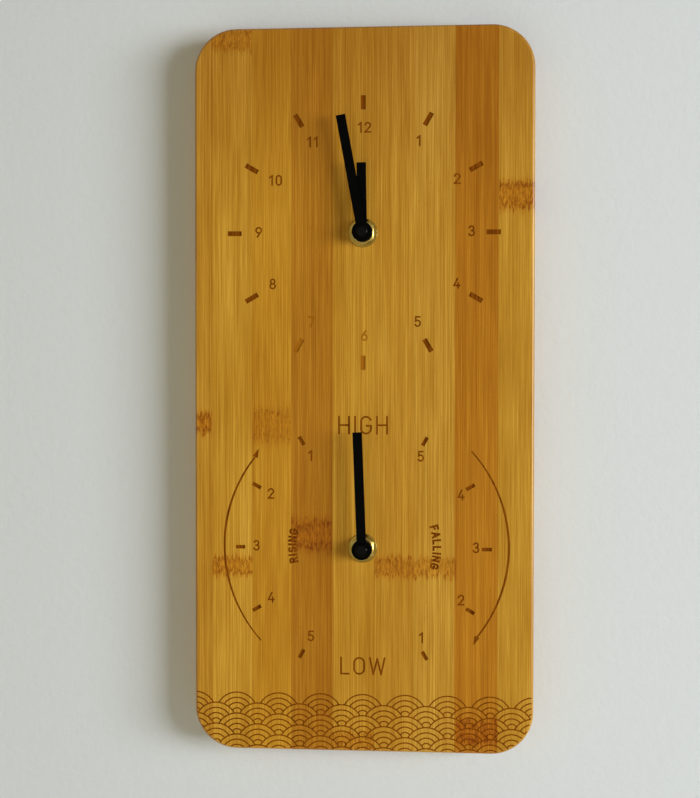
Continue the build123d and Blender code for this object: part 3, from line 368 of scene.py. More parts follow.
# Layers of the grain: streaks to a metre each way, their detail, and the tints of their dark and light.
grain_layers = (
    ((45, 45, 10), 3.0, (0.89, 0.82, 0.62, 1), (1.07, 1.09, 1.15, 1)),
    ((380, 380, 6), 3.0, (0.95, 0.91, 0.82, 1), (1.04, 1.06, 1.14, 1)),
    ((1500, 1500, 8), 3.0, (0.90, 0.85, 0.73, 1), (1.15, 1.20, 1.50, 1)),
    ((3000, 3000, 34), 2.0, (0.87, 0.82, 0.71, 1), (1.18, 1.25, 1.50, 1)),
)
pore_scale = (900, 900, 6)
pore_seed = 40.0
strip_seed = 61.0
ragged_scale = (900, 900, 45)
ragged_reach = 0.016
dash_scale = (1000, 1000, 270)
fleck_scale = (1000, 1000, 480)
fibre_rise = 0.00005
pore_tint = (0.86, 0.72, 0.48, 1)
# Tint of the darker top of the board: partly painted shade, partly the bamboo's own darker tone.
top_tone_and_shade_tint = (0.82, 0.76, 0.78, 1)
glue_tint = (0.6, 0.46, 0.28, 1)
knuckle_dark = (0.62, 0.42, 0.12, 1)
knuckle_light = (1.03, 0.84, 0.45, 1)
fleck_tint = (0.60, 0.40, 0.10, 1)
top_tone_and_shade_depth = 0.12
faint_place = (-0.014, -0.060)
faint_core = 0.018
faint_reach = 0.034
burnt_dark = (0.115, 0.0240, 0.0004, 1)
burnt_light = (0.280, 0.078, 0.0020, 1)
burnt_patch = (0.230, 0.064, 0.0020, 1)
burnt_faint = (0.420, 0.160, 0.0080, 1)
burnt_fibre_scale = (1300, 1300, 40)
burnt_patch_scale = (60, 60, 30)
burnt_gloss = 0.04
burnt_rise = 0.0001
burnt_depths = (0.00002, 0.00045)
wall_slope = 0.1
floor_slope = 0.99
flat_slope = 0.9999
# A knuckle lies across one strip: its left and right edge, its middle above the board's, its half height,
# and how strongly it is stained.
knuckles = (
    (-0.0758, -0.0555, 0.1745, 0.0055, 0.7),
    (0.0670, 0.0900, 0.0960, 0.0070, 1.0),
    (-0.0900, -0.0758, -0.0165, 0.0048, 1.0),
    (-0.0555, -0.0359, -0.0175, 0.0080, 0.6),
    (-0.0359, -0.0155, -0.0720, 0.0080, 0.85),
    (0.0057, 0.0247, -0.0875, 0.0048, 0.8),
    (0.0247, 0.0463, -0.0880, 0.0044, 0.8),
    (-0.0758, -0.0555, -0.0880, 0.0044, 0.9),
    (0.0463, 0.0670, -0.1690, 0.0060, 1.0),
    (-0.0155, 0.0057, -0.1750, 0.0045, 0.7),
)
knuckle_row_share = 0.75
knuckle_row_half_share = 0.45
knuckle_fade_shares = (1.5, 0.6)


def knuckle_group():
    """Shows how far a place lies inside one knuckle and how near to its two dark rows, from 0 to 1."""
    tree = bpy.data.node_groups.new("knuckle", "ShaderNodeTree")
    for name in ("X", "Height", "Left", "Right", "Middle", "Half", "Stain"):
        tree.interface.new_socket(name, in_out="INPUT", socket_type="NodeSocketFloat")
    for name in ("Inside", "Rows"):
        tree.interface.new_socket(name, in_out="OUTPUT", socket_type="NodeSocketFloat")
    given = tree.nodes.new("NodeGroupInput").outputs
    right_of = maths(tree, "GREATER_THAN", given["X"], given["Left"])
    left_of = maths(tree, "LESS_THAN", given["X"], given["Right"])
    across = maths(tree, "MULTIPLY", maths(tree, "MULTIPLY", right_of, left_of), given["Stain"])
    away = maths(tree, "ABSOLUTE", maths(tree, "SUBTRACT", given["Height"], given["Middle"]))
    away = maths(tree, "DIVIDE", away, given["Half"])
    from_row = maths(tree, "ABSOLUTE", maths(tree, "SUBTRACT", away, knuckle_row_share))
    inside = ranged(tree, away, *knuckle_fade_shares)
    rows = ranged(tree, from_row, knuckle_row_half_share, 0.0)
    node(tree, "NodeGroupOutput", {
        "Inside": maths(tree, "MULTIPLY", across, inside), "Rows": maths(tree, "MULTIPLY", across, rows)})
    return tree


def bamboo_material(name, smoothest, roughest, gloss):
    """Strips of bamboo in their own tones, with fibres along the board, glue lines, knuckles, and a top
    darkened partly by painted shade.
    """
    material, tree, shader, place = new_material(name)
    parts = node(tree, "ShaderNodeSeparateXYZ", {"Vector": place}).outputs
    across = node(tree, "ShaderNodeMapRange", {
        "Value": parts["X"], "From Min": board_low.x, "From Max": board_high.x}).outputs[0]
    strips = node(tree, "ShaderNodeValToRGB", {"Fac": across})
    ramp = strips.color_ramp
    ramp.interpolation = "CONSTANT"
    ramp.elements.remove(ramp.elements[1])
    ramp.elements[0].color = strip_colours[0]
    for edge, colour in zip(strip_edges, strip_colours[1:]):
        ramp.elements.new((edge - board_low.x) / (board_high.x - board_low.x)).color = colour
    tone = node(tree, "ShaderNodeSeparateColor", {"Color": strips.outputs[0]}).outputs
    seed = maths(tree, "MULTIPLY", maths(tree, "ADD", tone["Red"], tone["Green"]), strip_seed)

    colour = strips.outputs[0]
    grain = []
    for scale, detail, dark, light in grain_layers:
        grain.append(streaks(tree, place, scale, seed, detail))
        colour = tinted(tree, colour, grain[-1], dark, light)
    fibre, hair = grain[2:]
    pores = streaks(tree, place, pore_scale, maths(tree, "ADD", seed, pore_seed))
    colour = mixed(tree, ranged(tree, pores, 0.62, 0.74, 0, 0.5), colour, pore_tint, "MULTIPLY")
    # Darker towards the top of the board: partly painted shade where less light falls, partly a darker tone
    # of the bamboo there.
    top_toned_and_shaded = ranged(tree, parts["Z"], board_high.z - top_tone_and_shade_depth, board_high.z)
    colour = mixed(tree, top_toned_and_shaded, colour, top_tone_and_shade_tint, "MULTIPLY")

    lines = 0.0
    for edge in strip_edges:
        lines = maths(tree, "MAXIMUM", maths(tree, "COMPARE", parts["X"], edge, glue_line), lines)
    colour = mixed(tree, maths(tree, "MULTIPLY", lines, 0.4), colour, glue_tint, "MULTIPLY")

    ragged = streaks(tree, place, ragged_scale, seed, 3.0, 0.7)
    rise = maths(tree, "MULTIPLY_ADD", maths(tree, "SUBTRACT", ragged, 0.5), ragged_reach, parts["Z"])
    rise = maths(tree, "SUBTRACT", rise, board_middle.z)
    group = knuckle_group()
    inside = 0.0
    rows = 0.0
    for sizes in knuckles:
        knuckle = node(tree, "ShaderNodeGroup", node_tree=group)
        for name, value in zip(("Left", "Right", "Middle", "Half", "Stain"), sizes):
            knuckle.inputs[name].default_value = value
        tree.links.new(parts["X"], knuckle.inputs["X"])
        tree.links.new(rise, knuckle.inputs["Height"])
        inside = maths(tree, "MAXIMUM", knuckle.outputs["Inside"], inside)
        rows = maths(tree, "MAXIMUM", knuckle.outputs["Rows"], rows)
    dashes = streaks(tree, place, dash_scale, seed, 3.0, 0.7)
    stained = mixed(tree, ranged(tree, dashes, 0.36, 0.62), knuckle_dark, knuckle_light)
    colour = mixed(tree, inside, colour, stained, "MULTIPLY")
    flecks = streaks(tree, place, fleck_scale, seed, 3.0, 0.7)
    flecks = maths(tree, "MULTIPLY_ADD", rows, 0.14, maths(tree, "MULTIPLY_ADD", inside, 0.10, flecks))
    dark = ranged(tree, flecks, 0.62, 0.78, 0, 0.85)
    colour = mixed(tree, dark, colour, fleck_tint, "MULTIPLY")

    tree.links.new(colour, shader.inputs["Base Color"])
    tree.links.new(ranged(tree, fibre, 0.3, 0.7, smoothest, roughest), shader.inputs["Roughness"])
    shader.inputs["Specular IOR Level"].default_value = gloss
    height = maths(tree, "ADD", maths(tree, "MULTIPLY", fibre, 0.5), hair)
    tree.links.new(bumped(tree, height, fibre_rise, 0.5), shader.inputs["Normal"])
    return material


def burnt_material(faint):
    """Brown floor and walls of the grooves, darker where soft fibres burnt deeper, faint about one place."""
    material, tree, shader, place = new_material("burnt_bamboo")
    fibre = streaks(tree, place, burnt_fibre_scale, 3.0, 3.0, 0.6)
    patch = streaks(tree, place, burnt_patch_scale, 9.0, 2.0)
    colour = mixed(tree, ranged(tree, fibre, 0.38, 0.62), burnt_dark, burnt_light)
    colour = mixed(tree, ranged(tree, patch, 0.36, 0.64, 0, 0.6), colour, burnt_patch)
    away = node(tree, "ShaderNodeVectorMath", {0: place, 1: faint}, operation="DISTANCE").outputs["Value"]
    colour = mixed(tree, ranged(tree, away, faint_reach, faint_core, 0, 0.85), colour, burnt_faint)
    tree.links.new(colour, shader.inputs["Base Color"])
    tree.links.new(ranged(tree, fibre, 0.3, 0.7, 0.85, 0.65), shader.inputs["Roughness"])
    shader.inputs["Specular IOR Level"].default_value = burnt_gloss
    tree.links.new(bumped(tree, fibre, burnt_rise, 0.7), shader.inputs["Normal"])
    return material


bamboo = bamboo_material("bamboo", 0.42, 0.56, 0.12)
rubbed_bamboo = bamboo_material("rubbed_bamboo", 0.26, 0.36, 0.45)
burnt = burnt_material((time_dial[0] + faint_place[0], face, time_dial[1] + faint_place[1]))


def stroke_tree():
    """Turns strokes drawn on an upright plane into square bars that reach one depth each side of it."""
    tree, given = geometry_tree("stroke_bars", ("Depth", "Plane"))
    steady = node(tree, "GeometryNodeSetCurveNormal", {"Curve": given["Geometry"]}, mode="Z_UP")
    profile = node(tree, "GeometryNodeCurvePrimitiveQuadrilateral", {"Width": 1.0, "Height": 1.0})
    line = node(tree, "GeometryNodeInputRadius")
    bars = node(tree, "GeometryNodeCurveToMesh", {
        "Curve": steady.outputs[0], "Profile Curve": profile.outputs[0], "Scale": line.outputs[0],
        "Fill Caps": True})
    spot = node(tree, "ShaderNodeSeparateXYZ", {"Vector": node(tree, "GeometryNodeInputPosition").outputs[0]})
    side = maths(tree, "SIGN", spot.outputs["Z"])
    depth = maths(tree, "MULTIPLY_ADD", side, given["Depth"], given["Plane"])
    upright = node(tree, "ShaderNodeCombineXYZ", {"X": spot.outputs["X"], "Y": depth, "Z": spot.outputs["Y"]})
    stood = node(tree, "GeometryNodeSetPosition", {
        "Geometry": bars.outputs[0], "Position": upright.outputs[0]})
    turned = node(tree, "GeometryNodeFlipFaces", {"Mesh": stood.outputs[0]})
    finish_tree(tree, turned.outputs[0], given["Finish"])
    return tree


stroke_bars = stroke_tree()


def bars(name, strokes, depth, plane, finish):
    """The bars of a set of strokes, as one object."""
    curve = bpy.data.curves.new(name, "CURVE")
    curve.dimensions = "3D"
    for points, widths, closed in strokes:
        spline = curve.splines.new("POLY")
        spline.points.add(len(points) - 1)
        spline.use_cyclic_u = closed
        for point, (x, z), width in zip(spline.points, points, widths):
            point.co = (x, z, 0, 1)
            point.radius = width
    sizes = {"Depth": depth, "Plane": plane, "Finish": finish}
    return linked(name, made_by(stroke_bars, linked(name + "_strokes", curve), sizes))


def merged_copy(name, node_name):
    """A copy of a CAD node whose loose triangles are joined into one skin."""
    copy = linked(name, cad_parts[node_name].data.copy())
    shape = bmesh.new()
    shape.from_mesh(copy.data)
    bmesh.ops.remove_doubles(shape, verts=shape.verts, dist=1e-7)
    shape.to_mesh(copy.data)
    shape.free()
    return copy


def cut_away(piece, cutters, operation="DIFFERENCE"):
    """The piece's mesh with each cutter taken out of it in turn, or with only what they share kept."""
    for cutter in cutters:
        cut = piece.modifiers.new(cutter.name, "BOOLEAN")
        cut.operation = operation
        cut.solver = "MANIFOLD"
        cut.object = cutter
    mesh = settled(piece)
    for cutter in cutters:
        bpy.data.objects.remove(cutter)
    return mesh


def engraved_board():
    """The board with every groove cut and the floors of grooves and hour marks burnt."""
    slab = merged_copy("board_slab", "board")
    cutters = []
    for order in sorted(laser_passes):
        cutters.append(bars(f"laser_{order}", laser_passes[order], groove_depth, face, burnt))
    mesh = cut_away(slab, cutters)
    mesh.materials.clear()
    mesh.materials.append(bamboo)
    mesh.materials.append(burnt)
    mesh.materials.append(rubbed_bamboo)
    for polygon in mesh.polygons:
        depth = polygon.center.y - face
        slope = abs(polygon.normal.y)
        square = slope < wall_slope or polygon.normal.y < -floor_slope
        rounded = wall_slope < slope < flat_slope
        polygon.material_index = 2 if rounded else int(square and burnt_depths[0] < depth < burnt_depths[1])
        polygon.use_smooth = rounded
    return linked("engraved_board", mesh)


board = engraved_board()
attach(board, "clock")
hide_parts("board")

# Hanger: a zinc-plated steel plate with a keyhole, let flush into the back of the board.
# Two countersunk wood screws with cross recesses hold it.

plate_edge = 0.00015
screw_head_radius = 0.003
screw_head_rim = 0.00015
screw_head_height = 0.0014
screw_shank_radius = 0.0016
screw_core_radius = 0.00125
screw_thread_pitch = 0.001
screw_tip = 0.0022
cross_length = 0.0036
cross_line = 0.00085
cross_depth = 0.0011


def smooth(mesh, angle=32):
    """Shades a mesh as one skin, broken only at edges sharper than the angle."""
    mesh.polygons.foreach_set("use_smooth", [True] * len(mesh.polygons))
    mesh.set_sharp_from_angle(angle=math.radians(angle))


def coat(material, *node_names):
    """Gives CAD nodes a finish."""
    for node_name in node_names:
        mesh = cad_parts[node_name].data
        mesh.materials.clear()
        mesh.materials.append(material)


def stands_for(piece, body, node_name):
    """A piece that rides on a body in place of a CAD node."""
    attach(piece, body)
    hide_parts(node_name)


def eased(name, node_name, edge, material):
    """A copy of a CAD node with its sharp edges rounded over."""
    copy = merged_copy(name + "_sharp", node_name)
    shape = bmesh.new()
    shape.from_mesh(copy.data)
    bmesh.ops.dissolve_limit(shape, angle_limit=math.radians(1), verts=shape.verts, edges=shape.edges)
    shape.to_mesh(copy.data)
    shape.free()
    bevel = copy.modifiers.new("eased", "BEVEL")
    bevel.width = edge
    bevel.segments = 2
    bevel.limit_method = "ANGLE"
    bevel.angle_limit = math.radians(32)
    mesh = settled(copy)
    mesh.materials.clear()
    mesh.materials.append(material)
    smooth(mesh)
    for polygon in mesh.polygons:
        polygon.use_smooth = len(polygon.vertices) < 5
    return linked(name, mesh)


def turned(name, profile, x, z, sides=48, hollow=False):
    """A shape turned about an axis along Y: each point of its profile is a radius and a depth."""
    shape = bmesh.new()
    rings = []
    for radius, y in profile:
        angles = [math.tau * step / sides for step in range(sides if radius else 1)]
        points = [(x + radius * math.sin(angle), y, z + radius * math.cos(angle)) for angle in angles]
        rings.append([shape.verts.new(point) for point in points])
    for near, far in zip(rings, rings[1:] + (rings[:1] if hollow else [])):
        for step in range(sides):
            corners = [ring_verts[turn % len(ring_verts)] for ring_verts, turn in (
                (near, step), (near, step + 1), (far, step + 1), (far, step))]
            corners = list(dict.fromkeys(corners))
            if len(corners) > 2:
                shape.faces.new(corners)
    bmesh.ops.recalc_face_normals(shape, faces=shape.faces)
    mesh = bpy.data.meshes.new(name)
    shape.to_mesh(mesh)
    shape.free()
    smooth(mesh)
    return linked(name, mesh)


def metal_material(name, colour, stain, roughness, scale, bump=0.00002):
    """Plated or plain metal: cloudy in tone and polish, with fine handling marks."""
    material, tree, shader, place = new_material(name)
    cloud = streaks(tree, place, (scale, scale, scale), 2.0, 4.0, 0.6)
    marks = streaks(tree, place, (scale * 6, scale * 6, scale), 5.0, 3.0, 0.6)
    tree.links.new(mixed(tree, ranged(tree, cloud, 0.35, 0.7), colour, stain), shader.inputs["Base Color"])
    polish = ranged(tree, marks, 0.3, 0.7, roughness * 0.75, roughness * 1.25)
    tree.links.new(polish, shader.inputs["Roughness"])
    tree.links.new(bumped(tree, marks, bump, 0.5), shader.inputs["Normal"])
    shader.inputs["Metallic"].default_value = 1.0
    return material


zinc = metal_material("zinc_plate", (0.50, 0.51, 0.53, 1), (0.40, 0.42, 0.45, 1), 0.42, 260)
screw_steel = metal_material("screw_steel", (0.50, 0.47, 0.40, 1), (0.38, 0.37, 0.36, 1), 0.32, 700)
stands_for(eased("keyhole_plate", "hanger_plate", plate_edge, zinc), "clock", "hanger_plate")


def cross_screw(name, x, head_y, z, length):
    """One screw with its head towards the wall."""
    profile = [(0, head_y), (screw_head_radius - screw_head_rim, head_y),
               (screw_head_radius, head_y - screw_head_rim), (screw_shank_radius, head_y - screw_head_height)]
    depth = screw_head_height + screw_thread_pitch
    while depth < length - screw_tip:
        crest = head_y - depth - screw_thread_pitch / 2
        profile += [(screw_core_radius, head_y - depth), (screw_shank_radius, crest)]
        depth += screw_thread_pitch
    profile += [(screw_core_radius, head_y - length + screw_tip), (0, head_y - length)]
    screw = turned(name, profile, x, z)
    cross = []
    for order, (along, rise) in enumerate(((cross_length / 2, 0), (0, cross_length / 2))):
        stroke = ([(x - along, z - rise), (x, z), (x + along, z + rise)], [cross_line] * 3, False)
        cross.append(bars(f"cross_{order}", [stroke], cross_depth, head_y, screw_steel))
    return linked(name, cut_away(screw, cross))


def screw_tree():
    """Sets a second screw above the first."""
    tree, given = geometry_tree("screw_pair", ("Spacing",))
    step = node(tree, "ShaderNodeCombineXYZ", {"Z": given["Spacing"]})
    line = node(tree, "GeometryNodeMeshLine", {"Count": 2, "Offset": step.outputs[0]})
    pair = node(tree, "GeometryNodeInstanceOnPoints", {
        "Points": line.outputs[0], "Instance": given["Geometry"]})
    finish_tree(tree, pair.outputs[0], given["Finish"])
    return tree


screws_low, screws_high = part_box("hanger_screws")
screw = cross_screw(
    "wood_screw", middle("hanger_screws").x, screws_high.y, screws_low.z + screw_head_radius,
    screws_high.y - screws_low.y)
spacing = screws_high.z - screws_low.z - 2 * screw_head_radius
screws = linked("wood_screws", made_by(screw_tree(), screw, {"Spacing": spacing, "Finish": screw_steel}))
smooth(screws.data)
stands_for(screws, "clock", "hanger_screws")

# Movement cases: two halves of black moulded plastic that clip together, with a spark-eroded grain.
# Raised marks on the back show the battery's ends and which ways the knob turns.

mark_line = 0.0006
mark_height = 0.00025
mark_reach = 0.0016
mark_gap = 0.0034
mark_inset = 0.0060
turn_mark_gap = 0.0016
turn_mark_ends = (40, 140)
turn_mark_lead = 3
corner_step = 15
panel_inset = 0.0030
panel_gap = 0.0045
panel_corner = 0.0020
pin_radius = 0.0014
pin_inset = 0.0042
movements = ("time", "tide")


def plastic_material(name, colour, worn, roughness, scale, bump):
    """Moulded plastic with an even grain and slight wear."""
    material, tree, shader, place = new_material(name)
    grain = streaks(tree, place, (scale, scale, scale), 1.0, 2.0, 0.5)
    wear = streaks(tree, place, (90, 90, 90), 4.0, 4.0, 0.6)
    tree.links.new(mixed(tree, ranged(tree, wear, 0.42, 0.72), colour, worn), shader.inputs["Base Color"])
    polish = ranged(tree, wear, 0.3, 0.7, roughness * 1.1, roughness * 0.85)
    tree.links.new(polish, shader.inputs["Roughness"])
    tree.links.new(bumped(tree, grain, bump, 0.6), shader.inputs["Normal"])
    shader.inputs["Specular IOR Level"].default_value = 0.3
    return material


case_plastic = plastic_material(
    "case_plastic", (0.011, 0.011, 0.012, 1), (0.017, 0.017, 0.018, 1), 0.5, 2600, 0.00005)
rubbed_plastic = plastic_material(
    "rubbed_plastic", (0.030, 0.030, 0.031, 1), (0.050, 0.050, 0.050, 1), 0.32, 2600, 0.00002)
rubber = plastic_material("rubber", (0.018, 0.018, 0.018, 1), (0.026, 0.026, 0.025, 1), 0.85, 1500, 0.00006)


def case_marks(movement):
    """Raised marks on the back of a case: plus, minus, two-way arrow, a panel's rim and four pin rings."""
    battery_low, battery_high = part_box(f"{movement}_battery")
    plus_x = middle(f"{movement}_positive_contact").x
    plus_side = math.copysign(1, plus_x - middle(f"{movement}_negative_contact").x)
    battery_x = (battery_low.x + battery_high.x) / 2
    out = (battery_high.x - battery_low.x) / 2 - mark_inset
    z = battery_high.z + mark_gap
    strokes = []
    for side in (-1, 1):
        x = battery_x + side * out
        strokes.append([(x - mark_reach, z), (x + mark_reach, z)])
        if side == plus_side:
            strokes.append([(x, z - mark_reach), (x, z - mark_line / 2)])
            strokes.append([(x, z + mark_line / 2), (x, z + mark_reach)])
    knob_low, knob_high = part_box(f"{movement}_setting_knob")
    knob_x, knob_z = (knob_low.x + knob_high.x) / 2, (knob_low.z + knob_high.z) / 2
    radius = (knob_high.x - knob_low.x) / 2 + turn_mark_gap
    strokes.append(arc(knob_x, knob_z, radius, radius, *turn_mark_ends))
    marks = [(points, [mark_line] * len(points), False) for points in strokes]
    case_low, case_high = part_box(f"{movement}_case_rear")
    left, right = case_low.x + panel_inset, case_high.x - panel_inset
    bottom, top = knob_high.z + panel_gap, case_high.z - panel_inset
    corners = ((right, top, -1, -1), (left, top, 1, -1), (left, bottom, 1, 1), (right, bottom, -1, 1))
    panel = []
    for turn, (x, z, inward_x, inward_z) in enumerate(corners):
        bend = (x + inward_x * panel_corner, z + inward_z * panel_corner)
        panel += arc(*bend, panel_corner, panel_corner, 90 * turn, 90 * turn + 90, corner_step)
        pin_place = (x + inward_x * pin_inset, z + inward_z * pin_inset)
        pin = arc(*pin_place, pin_radius, pin_radius, 0, 360 - corner_step, corner_step)
        marks.append((pin, [mark_line / 2] * len(pin), True))
    marks.append((panel, [mark_line] * len(panel), True))
    for end, turn in zip(turn_mark_ends, (-1, 1)):
        tail = arc(knob_x, knob_z, radius, radius, end, end + turn * turn_mark_lead, turn_mark_lead)
        head = beyond(tail[0], tail[1], mark_reach)
        marks.append(([tail[0], head], [mark_line * 3, mark_line / 3], False))
    return bars(f"{movement}_case_marks", marks, mark_height, case_high.y, rubbed_plastic)


for movement in movements:
    coat(case_plastic, f"{movement}_case_front", f"{movement}_case_rear")
    coat(rubber, f"{movement}_gasket")
    marks = case_marks(movement)
    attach(marks, "clock")

# Works: acetal wheels, a stepping motor with a wound coil, a circuit board and a quartz crystal in each case.
# They are pressed and clipped between the case halves, and a spring clutch lets the hands be set.

wire_colours = ((0.30, 0.095, 0.028, 1), (0.62, 0.245, 0.085, 1))
wire_turns = 2600.0
laminate_colours = ((0.16, 0.075, 0.022, 1), (0.22, 0.11, 0.036, 1))
run_colour = (0.34, 0.20, 0.055, 1)

wheel_plastic = plastic_material(
    "wheel_plastic", (0.70, 0.68, 0.60, 1), (0.62, 0.60, 0.51, 1), 0.38, 1800, 0.00002)
bobbin_plastic = plastic_material(
    "bobbin_plastic", (0.42, 0.40, 0.34, 1), (0.34, 0.32, 0.27, 1), 0.45, 1800, 0.00003)
magnet = metal_material("magnet", (0.10, 0.10, 0.11, 1), (0.07, 0.07, 0.08, 1), 0.45, 900)
motor_iron = metal_material("motor_iron", (0.42, 0.43, 0.44, 1), (0.33, 0.33, 0.35, 1), 0.4, 500)
can_metal = metal_material("can_metal", (0.66, 0.66, 0.65, 1), (0.56, 0.56, 0.57, 1), 0.24, 600)
spring_steel = metal_material("spring_steel", (0.48, 0.48, 0.50, 1), (0.38, 0.38, 0.42, 1), 0.28, 900)


def winding_material():
    """Enamelled copper wire laid turn beside turn along the coil."""
    material, tree, shader, place = new_material("copper_wire")
    turns = node(tree, "ShaderNodeTexWave", {
        "Vector": place, "Scale": wire_turns, "Distortion": 1.5, "Detail": 2.0, "Detail Scale": 0.2},
        bands_direction="X").outputs["Fac"]
    colour = mixed(tree, turns, *wire_colours)
    tree.links.new(colour, shader.inputs["Base Color"])
    tree.links.new(ranged(tree, turns, 0.0, 1.0, 0.5, 0.28), shader.inputs["Roughness"])
    tree.links.new(bumped(tree, turns, 0.00005, 0.8), shader.inputs["Normal"])
    shader.inputs["Metallic"].default_value = 0.8
    return material


def laminate_material():
    """Brown paper laminate with paler copper runs under the lacquer."""
    material, tree, shader, place = new_material("circuit_laminate")
    runs = node(tree, "ShaderNodeTexVoronoi", {"Vector": place, "Scale": 420.0}, distance="MANHATTAN")
    fleck = streaks(tree, place, (900, 900, 900), 6.0, 3.0, 0.6)
    colour = mixed(tree, ranged(tree, fleck, 0.35, 0.65), *laminate_colours)
    copper = ranged(tree, runs.outputs["Distance"], 0.62, 0.70, 0, 0.8)
    colour = mixed(tree, copper, colour, run_colour)
    tree.links.new(colour, shader.inputs["Base Color"])
    tree.links.new(ranged(tree, fleck, 0.3, 0.7, 0.3, 0.45), shader.inputs["Roughness"])
    return material


winding = winding_material()
laminate = laminate_material()
for movement in movements:
    for wheel in ("clutch_wheel", "third_wheel", "second_wheel", "fifth_wheel", "reduction_wheel"):
        coat(wheel_plastic, f"{movement}_{wheel}")
    coat(magnet, f"{movement}_rotor")
    coat(motor_iron, f"{movement}_stator", f"{movement}_coil_core")
    coat(bobbin_plastic, f"{movement}_coil_bobbin")
    coat(winding, f"{movement}_coil_winding")
    coat(laminate, f"{movement}_circuit_board")
    coat(can_metal, f"{movement}_crystal")
    coat(spring_steel, f"{movement}_clutch_spring")
coat(wheel_plastic, "time_hour_wheel", "tide_wheel")

# Bush, washer and nut: turned brass. The bush stands up through the board from the case,
# and the hexagon nut draws the case up against the back through the washer on the face.

thread_pitch = 0.00075
thread_depth = 0.00035
washer_edge = 0.00015
nut_sides = 6
nut_face_share = 0.93
nut_cone = math.radians(30)
nut_bore_edge = 0.0003
nut_steps = 96
nut_break = 20
brass_bright = (0.66, 0.47, 0.12, 1)
brass_dull = (0.50, 0.34, 0.08, 1)
brass_roughness = 0.27
# The washer's brass is painted shade: a darker copy of the nut's brass that stands in for the dark room
# reflected in its flat face.
washer_shaded_bright = (0.30, 0.200, 0.036, 1)
washer_shaded_dull = (0.21, 0.135, 0.022, 1)
washer_roughness = 0.22


def brass_material(name, centre, bright, dull, roughness):
    """Polished brass with the fine rings that turning leaves about the shaft."""
    material, tree, shader, place = new_material(name)
    shift = {"Vector": place, "Location": (-centre[0], 0, -centre[1])}
    about = node(tree, "ShaderNodeMapping", shift).outputs[0]
    parts = node(tree, "ShaderNodeSeparateXYZ", {"Vector": about}).outputs
    flat = node(tree, "ShaderNodeCombineXYZ", {"X": parts["X"], "Y": parts["Z"]}).outputs[0]
    radius = node(tree, "ShaderNodeVectorMath", {0: flat}, operation="LENGTH").outputs["Value"]
    rings = node(tree, "ShaderNodeTexNoise", {
        "W": maths(tree, "MULTIPLY", radius, 14000.0), "Scale": 1.0, "Detail": 2.0}, noise_dimensions="1D")
    cloud = streaks(tree, place, (160, 160, 160), 3.0, 3.0, 0.6)
    colour = mixed(tree, ranged(tree, cloud, 0.35, 0.65), bright, dull)
    tree.links.new(colour, shader.inputs["Base Color"])
    polish = ranged(tree, rings.outputs["Fac"], 0.3, 0.7, roughness * 0.7, roughness * 1.3)
    tree.links.new(polish, shader.inputs["Roughness"])
    tree.links.new(bumped(tree, rings.outputs["Fac"], 0.000004, 0.3), shader.inputs["Normal"])
    shader.inputs["Metallic"].default_value = 1.0
    return material


def threaded_bush(movement, dial, material):
    """The bush with a fine thread down its outside, from its own CAD solid."""
    low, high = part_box(f"{movement}_threaded_bush")
    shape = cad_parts[f"{movement}_threaded_bush"].data
    radii = [(math.hypot(v.co.x - dial[0], v.co.z - dial[1]), v.co.y) for v in shape.vertices]
    bore = min(radius for radius, y in radii)
    flange = max(radius for radius, y in radii)
    flange_front = min(y for radius, y in radii if radius > flange - thread_depth / 4)
    outer = max(radius for radius, y in radii if y < flange_front - thread_pitch)
    profile = [(bore, low.y), (outer - thread_depth, low.y)]
    y = low.y
    while y < flange_front - 2 * thread_pitch:
        profile += [(outer, y + thread_pitch / 2), (outer - thread_depth, y + thread_pitch)]
        y += thread_pitch
    profile += [(outer - thread_depth, flange_front), (flange, flange_front)]
    profile += [(flange, high.y), (bore, high.y)]
    bush = turned(f"{movement}_bush", profile, dial[0], dial[1], hollow=True)
    bush.data.materials.append(material)
    return bush


def brass_nut(movement, dial, material):
    """A hexagon bar cut to length, bored, and turned to a shallow cone on its front."""
    low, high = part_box(f"{movement}_hex_nut")
    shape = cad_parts[f"{movement}_hex_nut"].data
    bore = min(math.hypot(v.co.x - dial[0], v.co.z - dial[1]) for v in shape.vertices)
    flat = (high.x - low.x) / 2
    corner = flat / math.cos(math.pi / nut_sides)
    face_radius = flat * nut_face_share
    blank = corner + nut_bore_edge
    drop = (blank - face_radius) * math.tan(nut_cone)
    cone = turned(f"{movement}_cone", [
        (bore + nut_bore_edge, low.y), (face_radius, low.y), (blank, low.y + drop), (blank, high.y),
        (bore, high.y), (bore, low.y + nut_bore_edge)], dial[0], dial[1], nut_steps, True)
    ends = (low.y - nut_bore_edge, high.y + nut_bore_edge)
    bar = turned(f"{movement}_bar", [(0, ends[0]), (corner, ends[0]), (corner, ends[1]), (0, ends[1])],
                 dial[0], dial[1], nut_sides)
    nut = linked(f"{movement}_brass_nut", cut_away(cone, [bar], "INTERSECT"))
    nut.data.materials.clear()
    nut.data.materials.append(material)
    smooth(nut.data, nut_break)
    return nut


for movement, dial in (("time", time_dial), ("tide", tide_dial)):
    brass = brass_material(f"{movement}_brass", dial, brass_bright, brass_dull, brass_roughness)
    # Painted shade: the washer gets a darker copy of the same brass.
    shaded_brass = brass_material(f"{movement}_shaded_brass", dial, washer_shaded_bright, washer_shaded_dull, washer_roughness)
    stands_for(threaded_bush(movement, dial, brass), "clock", f"{movement}_threaded_bush")
    stands_for(brass_nut(movement, dial, brass), "clock", f"{movement}_hex_nut")
    washer = eased(f"{movement}_brass_washer", f"{movement}_washer", washer_edge, shaded_brass)
    stands_for(washer, "clock", f"{movement}_washer")
    coat(brass, f"{movement}_minute_arbor")

# Hands: flat bars stamped from thin metal and sprayed satin black, pressed on the shafts by their collets.
# A glossy black cap hides the end of each shaft.

